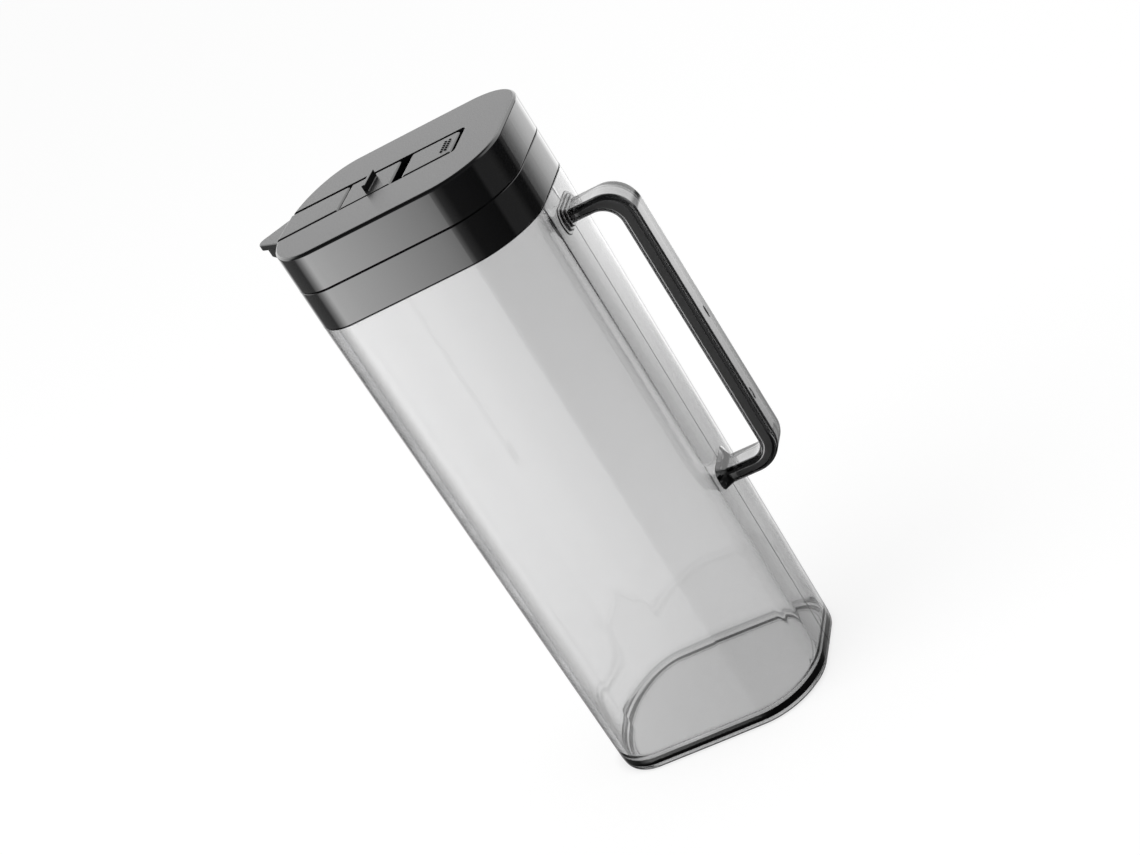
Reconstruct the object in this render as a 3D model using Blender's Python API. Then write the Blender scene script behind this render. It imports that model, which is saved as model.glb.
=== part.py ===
"""A slim clear water jug with a moulded handle, and a two part lid that pours when its panel is pushed."""

import math

import bmesh
import bpy
from mathutils import Matrix, Vector

# The whole jug stands on z = 0, the handle is at +X and the spout at -X. All sizes are in metres.
JUG_HEIGHT = 0.280
LID_BASE_BAND = 0.0183
LID_COVER_BAND = 0.0177
LID_LENGTH = 0.111
LID_WIDTH = 0.097
FOOT_LENGTH = 0.1058
FOOT_WIDTH = 0.0908
SPOUT_CORNER_LENGTH = 0.026
SPOUT_CORNER_WIDTH = 0.042
HANDLE_CORNER_LENGTH = 0.027
HANDLE_CORNER_WIDTH = 0.031
LEAST_FLAT = 0.002
SIDE_CROWN = 0.0007
SEAM_GAP = 0.0004
FIT_GAP = 0.0003
OVERRUN = 0.002

# Clear vessel
VESSEL_WALL = 0.0026
FLOOR_THICKNESS = 0.0034
FLOOR_FILLET = 0.004
FOOT_RIM_WIDTH = 0.0045
FOOT_RECESS = 0.0008
FOOT_EDGE_RADIUS = 0.0016
NECK_WALL = 0.0022
NECK_CLEARANCE = 0.0017
NECK_EDGE_RADIUS = 0.0006
SPINE_WIDTH = 0.054
SPINE_DEPTH = 0.0005
SPINE_RAMP = 0.0006

# Handle, one moulding with the vessel
HANDLE_REACH = 0.0292
HANDLE_WIDTH = 0.017
GRIP_THICKNESS = 0.0082
UPPER_LEG_THICKNESS = 0.0062
LOWER_LEG_THICKNESS = 0.0072
UPPER_LEG_DROP = 0.0098
HANDLE_LENGTH = 0.1414
HANDLE_EDGE_RADIUS = 0.0026
UPPER_OUTER_BEND = 0.013
UPPER_INNER_BEND = 0.009
LOWER_OUTER_BEND = 0.014
LOWER_INNER_BEND = 0.006
ROOT_STRAIGHT = 0.008
COLLAR_WIDTH = 0.029
COLLAR_HEIGHT = 0.0126
COLLAR_STEP = 0.0011
COLLAR_STEPS = 3
LOWER_COLLAR_WIDTH = 0.031
LOWER_COLLAR_HEIGHT = 0.0122
FLARE_LENGTH = 0.0052

# Lid base, the lower band with the plug, the deck and the pouring trough
SKIRT_WALL = 0.0018
PLUG_WALL = 0.0022
PLUG_GAP = 0.001
PLUG_DEPTH = 0.001
DECK_THICKNESS = 0.0022
UPSTAND_HEIGHT = 0.0036
UPSTAND_WALL = 0.0012
GROOVE_DEPTH = 0.0011
GASKET_HEIGHT = 0.0034
GASKET_RISE = 0.0035
GASKET_RIB = 0.0003

# Lid cover, the upper band with the channel
COVER_WALL = 0.0022
COVER_PLATE = 0.0024
COVER_EDGE_RADIUS = 0.0015
CHANNEL_FRONT_WIDTH = 0.030
CHANNEL_REAR_WIDTH = 0.0264
CHANNEL_LENGTH = 0.0888
CHANNEL_CORNER = 0.0022

# Pouring trough and the hole in the deck
TROUGH_WALL = 0.0011
TROUGH_GAP = 0.00045
TROUGH_FLOOR = 0.0013
TROUGH_SETBACK = 0.0047
TROUGH_REACH = 0.011
TROUGH_LIP_GAP = 0.0006
TROUGH_LIP_DROP = 0.0028
TROUGH_REAR_GAP = 0.0007
TROUGH_RISE_DEPTH = 0.0112
HOLE_WIDTH = 0.016
HOLE_RIM_WALL = 0.0012
HOLE_CORNER = 0.003

# Pour lever, the flap with its nose in front and the push panel behind
FLAP_LENGTH = 0.0307
FLAP_GAP = 0.00035
FLAP_DROP = 0.0002
PANEL_THICKNESS = 0.0026
NOSE_REACH = 0.0133
NOSE_TIP_RADIUS = 0.0045
NOSE_DROP = 0.001
NOSE_THICKNESS = 0.0028
PUSH_LENGTH = 0.0241
PUSH_REAR_GAP = 0.0024
PUSH_SIDE_GAP = 0.0008
PUSH_SKIRT_DEPTH = 0.0028
PUSH_SKIRT_WALL = 0.0012
PANEL_EDGE = 0.0004
PANEL_CORNER = 0.0012
PIVOT_SETBACK = 0.0138
PIVOT_RISE = 0.0034
PIN_RADIUS = 0.0012
PIN_CLEARANCE = 0.0003
BOSS_WALL = 0.0011
BEAM_WIDTH = 0.011
BEAM_DEPTH = 0.0094
BEAM_GAP = 0.0008
BEAM_THICKNESS = 0.0028
BEAM_RIB = 0.0014
BEAM_REAR_MARGIN = 0.004
STEM_MARGIN = 0.002
POST_GAP = 0.0019
POST_WALL = 0.0024
POST_HALF_LENGTH = 0.0026

# Silicone pad under the flap
SEAL_THICKNESS = 0.0016
SEAL_MARGIN = 0.0012
SEAL_FRONT_GAP = 0.0034
SEAL_REAR_GAP = 0.00075
SEAL_SOCKET_WALL = 0.0015
SEAL_SOCKET_DEPTH = 0.0022

# Lock slider
SLIDER_FRONT_GAP = 0.0007
SLIDER_DROP = 0.0014
SLIDER_PLATE = 0.0015
SLIDER_SIDE_GAP = 0.0004
SLIDER_TRAVEL = 0.005
SLIDER_STOP_GAP = 0.0006
RAIL_GRIP = 0.0006
RAIL_BREADTH = 0.0046
RAIL_THICKNESS = 0.0015
RAIL_DROP = 0.0018
GUIDE_WALL = 0.0014
GUIDE_LIP = 0.0013
GUIDE_LIP_REACH = 0.002
FIN_PLACE_SHARE = 0.5257
FIN_WIDTH = 0.0165
FIN_THICKNESS = 0.0016
FIN_HEIGHT = 0.0037
FIN_ROOT = 0.0004
TONGUE_SIDE_GAP = 0.0016
TONGUE_WIDTH = 0.0034
TONGUE_ROOT = 0.0037
TONGUE_REACH = 0.004
TONGUE_CLEARANCE = 0.0032
TONGUE_THICKNESS = 0.0018

# Return spring
SPRING_SETBACK = 0.0132
SPRING_RADIUS = 0.0031
SPRING_WIRE = 0.0007
SPRING_PITCH = 0.0015
SPRING_POINTS = 10
SPRING_SPIGOT_HEIGHT = 0.0022
SPRING_SPIGOT_GAP = 0.0005

# Facets
CORNER_STEPS = 12
BEND_STEPS = 8
SMALL_STEPS = 3
ROUND_STEPS = 24
CHORD_STEPS = 6
TWIST_LIMIT = math.radians(0.1)
SMOOTH_LIMIT = math.radians(30)

# Heights of the bands and of the handle, from the lid's top down
SEAM_Z = JUG_HEIGHT - LID_COVER_BAND
SHOULDER_Z = SEAM_Z - LID_BASE_BAND
BAND_TOP_Z = SEAM_Z - SEAM_GAP / 2
COVER_BOTTOM_Z = SEAM_Z + SEAM_GAP / 2
DECK_BOTTOM_Z = BAND_TOP_Z - DECK_THICKNESS
NECK_TOP_Z = DECK_BOTTOM_Z - NECK_CLEARANCE
COVER_UNDERSIDE_Z = JUG_HEIGHT - COVER_PLATE
GASKET_Z = SHOULDER_Z + GASKET_RISE
UPPER_LEG_TOP_Z = SHOULDER_Z - UPPER_LEG_DROP
LOWER_LEG_BOTTOM_Z = UPPER_LEG_TOP_Z - HANDLE_LENGTH

# How far the walls lie inside the jug's outline
NECK_INSET = SKIRT_WALL + FIT_GAP
BORE_INSET = NECK_INSET + NECK_WALL
PLUG_INSET = BORE_INSET + PLUG_GAP

# Heights of the pouring parts, from the lid's top down
FLAP_TOP_Z = JUG_HEIGHT - FLAP_DROP
PANEL_BOTTOM_Z = FLAP_TOP_Z - PANEL_THICKNESS
SLIDER_TOP_Z = JUG_HEIGHT - SLIDER_DROP
TONGUE_TOP_Z = PANEL_BOTTOM_Z - TONGUE_CLEARANCE
NOSE_TOP_Z = JUG_HEIGHT - NOSE_DROP
TROUGH_LIP_Z = NOSE_TOP_Z - NOSE_THICKNESS - TROUGH_LIP_GAP
TROUGH_RISE_Z = JUG_HEIGHT - TROUGH_RISE_DEPTH
BEAM_BOTTOM_Z = JUG_HEIGHT - BEAM_DEPTH
BEAM_TOP_Z = BEAM_BOTTOM_Z + BEAM_THICKNESS
PIVOT_Z = BEAM_BOTTOM_Z + PIVOT_RISE
TROUGH_REAR_Z = BEAM_BOTTOM_Z - TROUGH_REAR_GAP
SOCKET_TOP_Z = BEAM_BOTTOM_Z - BEAM_GAP
SEAL_TOP_Z = SOCKET_TOP_Z - SEAL_SOCKET_DEPTH
SEAL_BOTTOM_Z = SEAL_TOP_Z - SEAL_THICKNESS
HOLE_RIM_Z = SEAL_BOTTOM_Z - FIT_GAP

# Places along the channel, from the rim over the spout back
RIM_FRONT_X = -LID_LENGTH / 2
NOSE_TIP_X = RIM_FRONT_X - NOSE_REACH
TROUGH_LIP_X = RIM_FRONT_X - TROUGH_REACH
TROUGH_FRONT_X = RIM_FRONT_X + TROUGH_SETBACK
FLAP_REAR_X = RIM_FRONT_X + FLAP_LENGTH
TROUGH_REAR_X = FLAP_REAR_X - TROUGH_GAP
HOLE_FRONT_X = TROUGH_FRONT_X + SEAL_FRONT_GAP + SEAL_MARGIN + HOLE_RIM_WALL
HOLE_REAR_X = TROUGH_REAR_X - TROUGH_WALL - SEAL_REAR_GAP - SEAL_MARGIN - HOLE_RIM_WALL
STEM_FRONT_X = HOLE_FRONT_X + STEM_MARGIN
STEM_REAR_X = HOLE_REAR_X - STEM_MARGIN
PIVOT_X = FLAP_REAR_X + PIVOT_SETBACK
CHANNEL_REAR_X = RIM_FRONT_X + CHANNEL_LENGTH
PUSH_REAR_X = CHANNEL_REAR_X - PUSH_REAR_GAP
PUSH_FRONT_X = PUSH_REAR_X - PUSH_LENGTH
SPRING_X = PUSH_FRONT_X + SPRING_SETBACK
SLIDER_FRONT_X = FLAP_REAR_X + SLIDER_FRONT_GAP
SLIDER_REAR_X = PUSH_FRONT_X - SLIDER_TRAVEL - SLIDER_STOP_GAP
FIN_X = SLIDER_FRONT_X + (SLIDER_REAR_X - SLIDER_FRONT_X) * FIN_PLACE_SHARE

# Widths across the channel
FLAP_SIDE_GAP = TROUGH_GAP + TROUGH_WALL + FLAP_GAP
NOSE_WIDTH = CHANNEL_FRONT_WIDTH - 2 * (FLAP_SIDE_GAP + FIT_GAP)
STEM_WIDTH = HOLE_WIDTH - 2 * STEM_MARGIN
RAIL_WIDTH = CHANNEL_FRONT_WIDTH + 2 * RAIL_GRIP
TONGUE_INNER = BEAM_WIDTH + 2 * TONGUE_SIDE_GAP

# Each material's colour, roughness, metallic value and transmission
MATERIALS = {
    "clear_grey_plastic": ((0.80, 0.81, 0.82), 0.04, 0.0, 1.0),
    "dark_grey_plastic": ((0.075, 0.077, 0.082), 0.28, 0.0, 0.0),
    "grey_silicone": ((0.33, 0.34, 0.35), 0.6, 0.0, 0.0),
    "spring_steel": ((0.62, 0.62, 0.64), 0.25, 1.0, 0.0),
}
LID_PLASTIC = "dark_grey_plastic"


def material(name):
    found = bpy.data.materials.get(name)
    if found:
        return found
    colour, roughness, metallic, transmission = MATERIALS[name]
    made = bpy.data.materials.new(name)
    made.use_nodes = True
    shader = made.node_tree.nodes["Principled BSDF"]
    shader.inputs["Base Color"].default_value = (*colour, 1)
    shader.inputs["Roughness"].default_value = roughness
    shader.inputs["Metallic"].default_value = metallic
    shader.inputs["Transmission Weight"].default_value = transmission
    return made


def add_object(name, data, material_name):
    data.materials.append(material(material_name))
    obj = bpy.data.objects.new(name, data)
    bpy.context.scene.collection.objects.link(obj)
    return obj


def mesh_object(name, points, faces, material_name):
    """A closed mesh whose faces are turned to point outwards."""
    shape = bmesh.new()
    corners = [shape.verts.new(point) for point in points]
    for face in faces:
        shape.faces.new([corners[index] for index in face])
    twisted = [face for face in shape.faces if len(face.verts) == 4]
    bmesh.ops.connect_verts_nonplanar(shape, angle_limit=TWIST_LIMIT, faces=twisted)
    bmesh.ops.recalc_face_normals(shape, faces=shape.faces)
    mesh = bpy.data.meshes.new(name)
    shape.to_mesh(mesh)
    shape.free()
    mesh.shade_smooth()
    mesh.set_sharp_from_angle(angle=SMOOTH_LIMIT)
    return add_object(name, mesh, material_name)


def loft(name, rings, material_name, looped=False):
    """Skin over rings of equal count: capped at both ends, or closed into a ring of its own."""
    count = len(rings[0])
    points = [point for ring in rings for point in ring]
    last = len(rings) if looped else len(rings) - 1
    faces = []
    for row in range(last):
        here, there = row * count, (row + 1) % len(rings) * count
        for column in range(count):
            beside = (column + 1) % count
            faces.append((here + column, here + beside, there + beside, there + column))
    if not looped:
        faces.append(tuple(range(count)))
        faces.append(tuple(range(len(points) - count, len(points))))
    return mesh_object(name, points, faces, material_name)


def boolean(target, tool, operation):
    modifier = target.modifiers.new(f"{operation.lower()}_{tool.name}", "BOOLEAN")
    modifier.operation = operation
    modifier.object = tool
    tool.hide_render = True
    tool.display_type = "WIRE"


def cut(target, tool):
    boolean(target, tool, "DIFFERENCE")


def join(target, tool):
    boolean(target, tool, "UNION")


def trim(target, tool):
    boolean(target, tool, "INTERSECT")


def side_name(side):
    return "near" if side < 0 else "far"


def spread(first, last, steps):
    return [first + (last - first) * step / steps for step in range(steps + 1)]


def jug_ring(inset, z, raised=0.0):
    """The jug's outline at a height, drawn in by inset. raised lifts the spine on the handle end."""
    share = min(z / SHOULDER_Z, 1)
    half_length = (FOOT_LENGTH + (LID_LENGTH - FOOT_LENGTH) * share) / 2
    half_width = (FOOT_WIDTH + (LID_WIDTH - FOOT_WIDTH) * share) / 2
    crown = SIDE_CROWN * (1 - inset / half_width)
    rear_x, rear_y = half_length - HANDLE_CORNER_LENGTH, half_width - HANDLE_CORNER_WIDTH
    spout_width = min(SPOUT_CORNER_WIDTH, half_width - LEAST_FLAT)
    front_x, front_y = SPOUT_CORNER_LENGTH - half_length, half_width - spout_width
    rear_long, rear_wide = HANDLE_CORNER_LENGTH - inset, HANDLE_CORNER_WIDTH - inset
    front_long, front_wide = SPOUT_CORNER_LENGTH - inset, spout_width - inset
    edge = math.asin((SPINE_WIDTH / 2 - rear_y) / HANDLE_CORNER_WIDTH)
    ramp = edge + SPINE_RAMP / HANDLE_CORNER_WIDTH
    half = []
    for angle in spread(0, edge, SMALL_STEPS):
        x = rear_x + rear_long * math.cos(angle) + raised
        half.append((x, rear_y + rear_wide * math.sin(angle)))
    for angle in spread(ramp, math.pi / 2, CORNER_STEPS):
        half.append((rear_x + rear_long * math.cos(angle), rear_y + rear_wide * math.sin(angle)))
    for angle in spread(math.pi / 2, math.pi, CORNER_STEPS):
        half.append((front_x + front_long * math.cos(angle), front_y + front_wide * math.sin(angle)))
    bowed = []
    for x, y in half:
        bow = crown * (1 - (x / half_length) ** 2) * y / half_width
        bowed.append((x, y + max(bow, 0)))
    return [(x, y, z) for x, y in bowed] + [(x, -y, z) for x, y in reversed(bowed)]


def bore_inset(z):
    """How far the inside lies from the outside: the wall thickens towards the shoulder."""
    return VESSEL_WALL + (BORE_INSET - VESSEL_WALL) * min(z / SHOULDER_Z, 1)


def quarter(radius, steps):
    """Pairs (across, along) of a quarter round, from the side it leaves to the side it reaches."""
    angles = spread(0, math.pi / 2, steps)
    return [(radius * (1 - math.cos(angle)), radius * math.sin(angle)) for angle in angles]


def slab_rings(outline, bottom, top, edge):
    """Rings of an upright slab whose top edge is chamfered. outline(inset) gives the plan."""
    levels = [(0, bottom), (0, top - edge), (edge, top)] if edge > 0 else [(0, bottom), (0, top)]
    return [[(x, y, z) for x, y in outline(inset)] for inset, z in levels]


def slab(name, outline, bottom, top, edge=0.0, material_name=LID_PLASTIC):
    return loft(name, slab_rings(outline, bottom, top, edge), material_name)


def block(name, low, high):
    """A plain block between two corners."""
    (x0, y0, z0), (x1, y1, z1) = low, high
    plan = [(x0, y0), (x1, y0), (x1, y1), (x0, y1)]
    return loft(name, [[(x, y, z) for x, y in plan] for z in (z0, z1)], LID_PLASTIC)


def profile(name, points, half_width):
    """A side view in x and z, drawn out across the jug."""
    rings = [[(x, y, z) for x, z in points] for y in (-half_width, half_width)]
    return loft(name, rings, LID_PLASTIC)


def rounded(corners, radius, steps):
    """A closed outline with each corner replaced by an arc that is tangent to both sides."""
    outline = []
    for index, corner in enumerate(corners):
        here = Vector(corner)
        before = (Vector(corners[index - 1]) - here).normalized()
        after = (Vector(corners[(index + 1) % len(corners)]) - here).normalized()
        half_angle = before.angle(after) / 2
        centre = here + (before + after).normalized() * radius / math.sin(half_angle)
        start = here + before * radius / math.tan(half_angle) - centre
        end = here + after * radius / math.tan(half_angle) - centre
        for share in spread(0, 1, steps):
            outline.append(tuple(centre + start.slerp(end, share) * radius))
    return outline


def channel_half_width(x):
    share = (x - RIM_FRONT_X) / (CHANNEL_REAR_X - RIM_FRONT_X)
    return (CHANNEL_FRONT_WIDTH + (CHANNEL_REAR_WIDTH - CHANNEL_FRONT_WIDTH) * share) / 2


def channel_panel(front_x, rear_x, side_gap, corner):
    """The plan of a panel that lies in the channel and follows its taper."""

    def outline(inset):
        front = channel_half_width(front_x) - side_gap - inset
        rear = channel_half_width(rear_x) - side_gap - inset
        corners = [
            (front_x + inset, -front),
            (rear_x - inset, -rear),
            (rear_x - inset, rear),
            (front_x + inset, front),
        ]
        return rounded(corners, corner, SMALL_STEPS)

    return outline


def beak(root_x, tip_x, width, tip_radius):
    """The plan of a pouring beak: straight sides drawn in to a round tip."""

    def outline(inset):
        half, radius = width / 2 - inset, tip_radius - inset
        centre_x = tip_x + tip_radius
        reach, drop = centre_x - RIM_FRONT_X, half - radius
        lean = math.atan2(drop, -reach)
        side = []
        for angle in spread(lean, math.pi / 2, CHORD_STEPS):
            side.append((centre_x - radius * math.sin(angle), radius * math.cos(angle)))
        upper = [(root_x, half), (RIM_FRONT_X, half)] + side
        return upper + [(x, -y) for x, y in reversed(upper[:-1])]

    return outline


def pin(name, centre, radius, half_length, material_name=LID_PLASTIC):
    """A round bar across the jug, from -Y to +Y."""
    rings = []
    for y in (-half_length, half_length):
        ring = []
        for step in range(ROUND_STEPS):
            angle = 2 * math.pi * step / ROUND_STEPS
            ring.append((centre[0] + radius * math.cos(angle), y, centre[1] + radius * math.sin(angle)))
        rings.append(ring)
    return loft(name, rings, material_name)


def wall_x(z):
    """The outside of the handle end at a height."""
    return (FOOT_LENGTH + (LID_LENGTH - FOOT_LENGTH) * z / SHOULDER_Z) / 2 + SPINE_DEPTH


def build_body():
    rings = [
        jug_ring(FOOT_EDGE_RADIUS + FOOT_RIM_WIDTH + FOOT_RECESS, FOOT_RECESS),
        jug_ring(FOOT_EDGE_RADIUS + FOOT_RIM_WIDTH, 0),
    ]
    for across, along in quarter(FOOT_EDGE_RADIUS, SMALL_STEPS):
        rings.append(jug_ring(FOOT_EDGE_RADIUS - along, across, SPINE_DEPTH))
    rings.append(jug_ring(0, SHOULDER_Z, SPINE_DEPTH))
    rings.append(jug_ring(NECK_INSET, SHOULDER_Z))
    rings.append(jug_ring(NECK_INSET, NECK_TOP_Z - NECK_EDGE_RADIUS))
    rings.append(jug_ring(NECK_INSET + NECK_EDGE_RADIUS, NECK_TOP_Z))
    rings.append(jug_ring(BORE_INSET - NECK_EDGE_RADIUS, NECK_TOP_Z))
    rings.append(jug_ring(BORE_INSET, NECK_TOP_Z - NECK_EDGE_RADIUS))
    rings.append(jug_ring(BORE_INSET, SHOULDER_Z))
    fillet_top = FLOOR_THICKNESS + FLOOR_FILLET
    for across, along in quarter(FLOOR_FILLET, SMALL_STEPS):
        z = fillet_top - along
        rings.append(jug_ring(bore_inset(fillet_top) + across, z))
    body = loft("jug_body", rings, "clear_grey_plastic")
    join(body, build_handle())
    return body


def build_handle():
    """A bar with rounded edges, drawn between an outer and an inner line, with a collar at each root."""
    outer_x = wall_x(SHOULDER_Z) + HANDLE_REACH
    inner_x = outer_x - GRIP_THICKNESS
    upper_top, upper_bottom = UPPER_LEG_TOP_Z, UPPER_LEG_TOP_Z - UPPER_LEG_THICKNESS
    lower_bottom, lower_top = LOWER_LEG_BOTTOM_Z, LOWER_LEG_BOTTOM_Z + LOWER_LEG_THICKNESS
    upper_root = wall_x(UPPER_LEG_TOP_Z) - NECK_WALL
    lower_root = wall_x(LOWER_LEG_BOTTOM_Z) - VESSEL_WALL / 2
    upper_straight = wall_x(UPPER_LEG_TOP_Z) + ROOT_STRAIGHT
    lower_straight = wall_x(LOWER_LEG_BOTTOM_Z) + ROOT_STRAIGHT
    outer = [(upper_root, upper_top), (upper_straight, upper_top)]
    inner = [(upper_root, upper_bottom), (upper_straight, upper_bottom)]
    for angle in spread(0, math.pi / 2, BEND_STEPS):
        sine, cosine = math.sin(angle), math.cos(angle)
        outer.append(
            (outer_x - UPPER_OUTER_BEND * (1 - sine), upper_top - UPPER_OUTER_BEND * (1 - cosine))
        )
        inner.append(
            (inner_x - UPPER_INNER_BEND * (1 - sine), upper_bottom - UPPER_INNER_BEND * (1 - cosine))
        )
    for angle in spread(0, math.pi / 2, BEND_STEPS):
        sine, cosine = math.sin(angle), math.cos(angle)
        outer.append(
            (outer_x - LOWER_OUTER_BEND * (1 - cosine), lower_bottom + LOWER_OUTER_BEND * (1 - sine))
        )
        inner.append(
            (inner_x - LOWER_INNER_BEND * (1 - cosine), lower_top + LOWER_INNER_BEND * (1 - sine))
        )
    outer += [(lower_straight, lower_bottom), (lower_root, lower_bottom)]
    inner += [(lower_straight, lower_top), (lower_root, lower_top)]
    rings = []
    for (x_out, z_out), (x_in, z_in) in zip(outer, inner):
        middle = Vector(((x_out + x_in) / 2, 0, (z_out + z_in) / 2))
        across = Vector((x_out - x_in, 0, z_out - z_in))
        rings.append(bar_section(middle, across, HANDLE_WIDTH, HANDLE_EDGE_RADIUS))
    handle = loft("handle_bar", rings, "clear_grey_plastic")
    join(handle, stepped_collar())
    join(handle, flared_collar())
    return handle


def bar_section(middle, across, width, radius):
    """A rounded oblong, square to the bar: across is its thickness as a vector."""
    half, unit = across.length / 2, across.normalized()
    corners = [(-half, -width / 2), (half, -width / 2), (half, width / 2), (-half, width / 2)]
    edge = min(radius, half - FIT_GAP)
    return [tuple(middle + unit * u + Vector((0, v, 0))) for u, v in rounded(corners, edge, SMALL_STEPS)]


def stepped_collar():
    """The upper root: plinths that step down to the bar."""
    middle_z = UPPER_LEG_TOP_Z - UPPER_LEG_THICKNESS / 2
    start = wall_x(middle_z) - NECK_WALL
    rings = []
    for step in range(COLLAR_STEPS):
        share = step / COLLAR_STEPS
        width = COLLAR_WIDTH + (HANDLE_WIDTH - COLLAR_WIDTH) * share
        height = COLLAR_HEIGHT + (UPPER_LEG_THICKNESS - COLLAR_HEIGHT) * share
        end = wall_x(middle_z) + COLLAR_STEP * (step + 1)
        for x in (start, end):
            across = Vector((0, 0, height))
            rings.append(bar_section(Vector((x, 0, middle_z)), across, width, height / 2))
        start = end
    return loft("upper_collar", rings, "clear_grey_plastic")


def flared_collar():
    """The lower root: a flare that sweeps from the wall into the bar."""
    middle_z = LOWER_LEG_BOTTOM_Z + LOWER_COLLAR_HEIGHT / 2
    bar_z = LOWER_LEG_BOTTOM_Z + LOWER_LEG_THICKNESS / 2
    wall = wall_x(middle_z)
    start = Vector((wall - VESSEL_WALL / 2, 0, middle_z))
    tall = Vector((0, 0, LOWER_COLLAR_HEIGHT))
    rings = [bar_section(start, tall, LOWER_COLLAR_WIDTH, LOWER_COLLAR_HEIGHT / 2)]
    for share in spread(0, 1, CHORD_STEPS):
        flare = (1 - share) ** 2
        width = HANDLE_WIDTH + (LOWER_COLLAR_WIDTH - HANDLE_WIDTH) * flare - FIT_GAP * share
        height = LOWER_LEG_THICKNESS + (LOWER_COLLAR_HEIGHT - LOWER_LEG_THICKNESS) * flare - FIT_GAP * share
        middle = Vector((wall + FLARE_LENGTH * share, 0, bar_z + (middle_z - bar_z) * flare))
        radius = HANDLE_EDGE_RADIUS + (height / 2 - HANDLE_EDGE_RADIUS) * flare
        rings.append(bar_section(middle, Vector((0, 0, height)), width, radius))
    return loft("lower_collar", rings, "clear_grey_plastic")


def build_lid_base():
    """The lower band: skirt, deck, plug with its gasket groove, upstand, trough, posts and spigot."""
    plug_bottom = SHOULDER_Z - PLUG_DEPTH
    groove = [GASKET_Z - GASKET_HEIGHT / 2 - FIT_GAP, GASKET_Z + GASKET_HEIGHT / 2 + FIT_GAP]
    upstand = COVER_WALL + FIT_GAP
    bottom = SHOULDER_Z + FIT_GAP
    inner = PLUG_INSET + PLUG_WALL
    rings = [
        jug_ring(upstand + UPSTAND_WALL, BAND_TOP_Z),
        jug_ring(upstand + UPSTAND_WALL, BAND_TOP_Z + UPSTAND_HEIGHT),
        jug_ring(upstand, BAND_TOP_Z + UPSTAND_HEIGHT),
        jug_ring(upstand, BAND_TOP_Z),
        jug_ring(0, BAND_TOP_Z),
        jug_ring(0, bottom),
        jug_ring(SKIRT_WALL, bottom),
        jug_ring(SKIRT_WALL, DECK_BOTTOM_Z),
        jug_ring(PLUG_INSET, DECK_BOTTOM_Z),
        jug_ring(PLUG_INSET, groove[1]),
        jug_ring(PLUG_INSET + GROOVE_DEPTH, groove[1]),
        jug_ring(PLUG_INSET + GROOVE_DEPTH, groove[0]),
        jug_ring(PLUG_INSET, groove[0]),
        jug_ring(PLUG_INSET, plug_bottom),
        jug_ring(inner, plug_bottom),
        jug_ring(inner, DECK_BOTTOM_Z),
    ]
    base = loft("lid_base", rings, LID_PLASTIC)
    join(base, build_trough())
    join(base, slab("hole_rim", hole_plan(-HOLE_RIM_WALL), DECK_BOTTOM_Z, HOLE_RIM_Z))
    cut(base, slab("pour_hole", hole_plan(0), DECK_BOTTOM_Z - OVERRUN, HOLE_RIM_Z + OVERRUN))
    for side in (-1, 1):
        join(base, build_post(side))
    length = BEAM_WIDTH / 2 + POST_GAP + POST_WALL + OVERRUN
    cut(base, pin("post_holes", (PIVOT_X, PIVOT_Z), PIN_RADIUS + PIN_CLEARANCE, length))
    join(base, build_spigot())
    return base


def hole_plan(inset):
    def outline(edge):
        drawn = inset + edge
        low, high = HOLE_FRONT_X + drawn, HOLE_REAR_X - drawn
        half = HOLE_WIDTH / 2 - drawn
        corners = [(low, -half), (high, -half), (high, half), (low, half)]
        return rounded(corners, HOLE_CORNER - drawn, SMALL_STEPS)

    return outline


def build_trough():
    """An open chute: walls up to the lid's top, a floor that climbs to the lip, a low rear wall."""
    step_x = RIM_FRONT_X + TROUGH_WALL + FIT_GAP * 2
    lip_z = TROUGH_LIP_Z - TROUGH_LIP_DROP
    outside = [
        (TROUGH_REAR_X, DECK_BOTTOM_Z),
        (TROUGH_REAR_X, FLAP_TOP_Z),
        (step_x, FLAP_TOP_Z),
        (step_x, TROUGH_LIP_Z),
        (TROUGH_LIP_X - OVERRUN, TROUGH_LIP_Z),
        (TROUGH_LIP_X - OVERRUN, lip_z),
        (TROUGH_FRONT_X - TROUGH_FLOOR, TROUGH_RISE_Z),
        (TROUGH_FRONT_X - TROUGH_FLOOR, DECK_BOTTOM_Z),
    ]
    half = CHANNEL_FRONT_WIDTH / 2 + OVERRUN
    over = JUG_HEIGHT + OVERRUN
    trough = profile("trough", outside, half)
    trim(trough, slab("trough_plan", trough_plan(0), DECK_BOTTOM_Z - OVERRUN, over))
    inside = [
        (TROUGH_REAR_X - TROUGH_WALL, BAND_TOP_Z),
        (TROUGH_REAR_X - TROUGH_WALL, over),
        (TROUGH_LIP_X - OVERRUN * 2, over),
        (TROUGH_LIP_X - OVERRUN * 2, lip_z + TROUGH_FLOOR),
        (TROUGH_FRONT_X, TROUGH_RISE_Z + TROUGH_FLOOR),
        (TROUGH_FRONT_X + TROUGH_FLOOR, BAND_TOP_Z),
    ]
    hollow = profile("trough_hollow", inside, half)
    trim(hollow, slab("trough_hollow_plan", trough_plan(TROUGH_WALL), DECK_BOTTOM_Z, over + OVERRUN))
    cut(trough, hollow)
    low = (TROUGH_REAR_X - TROUGH_WALL - OVERRUN, -half, TROUGH_REAR_Z)
    cut(trough, block("trough_rear_notch", low, (TROUGH_REAR_X + OVERRUN, half, over)))
    return trough


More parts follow.
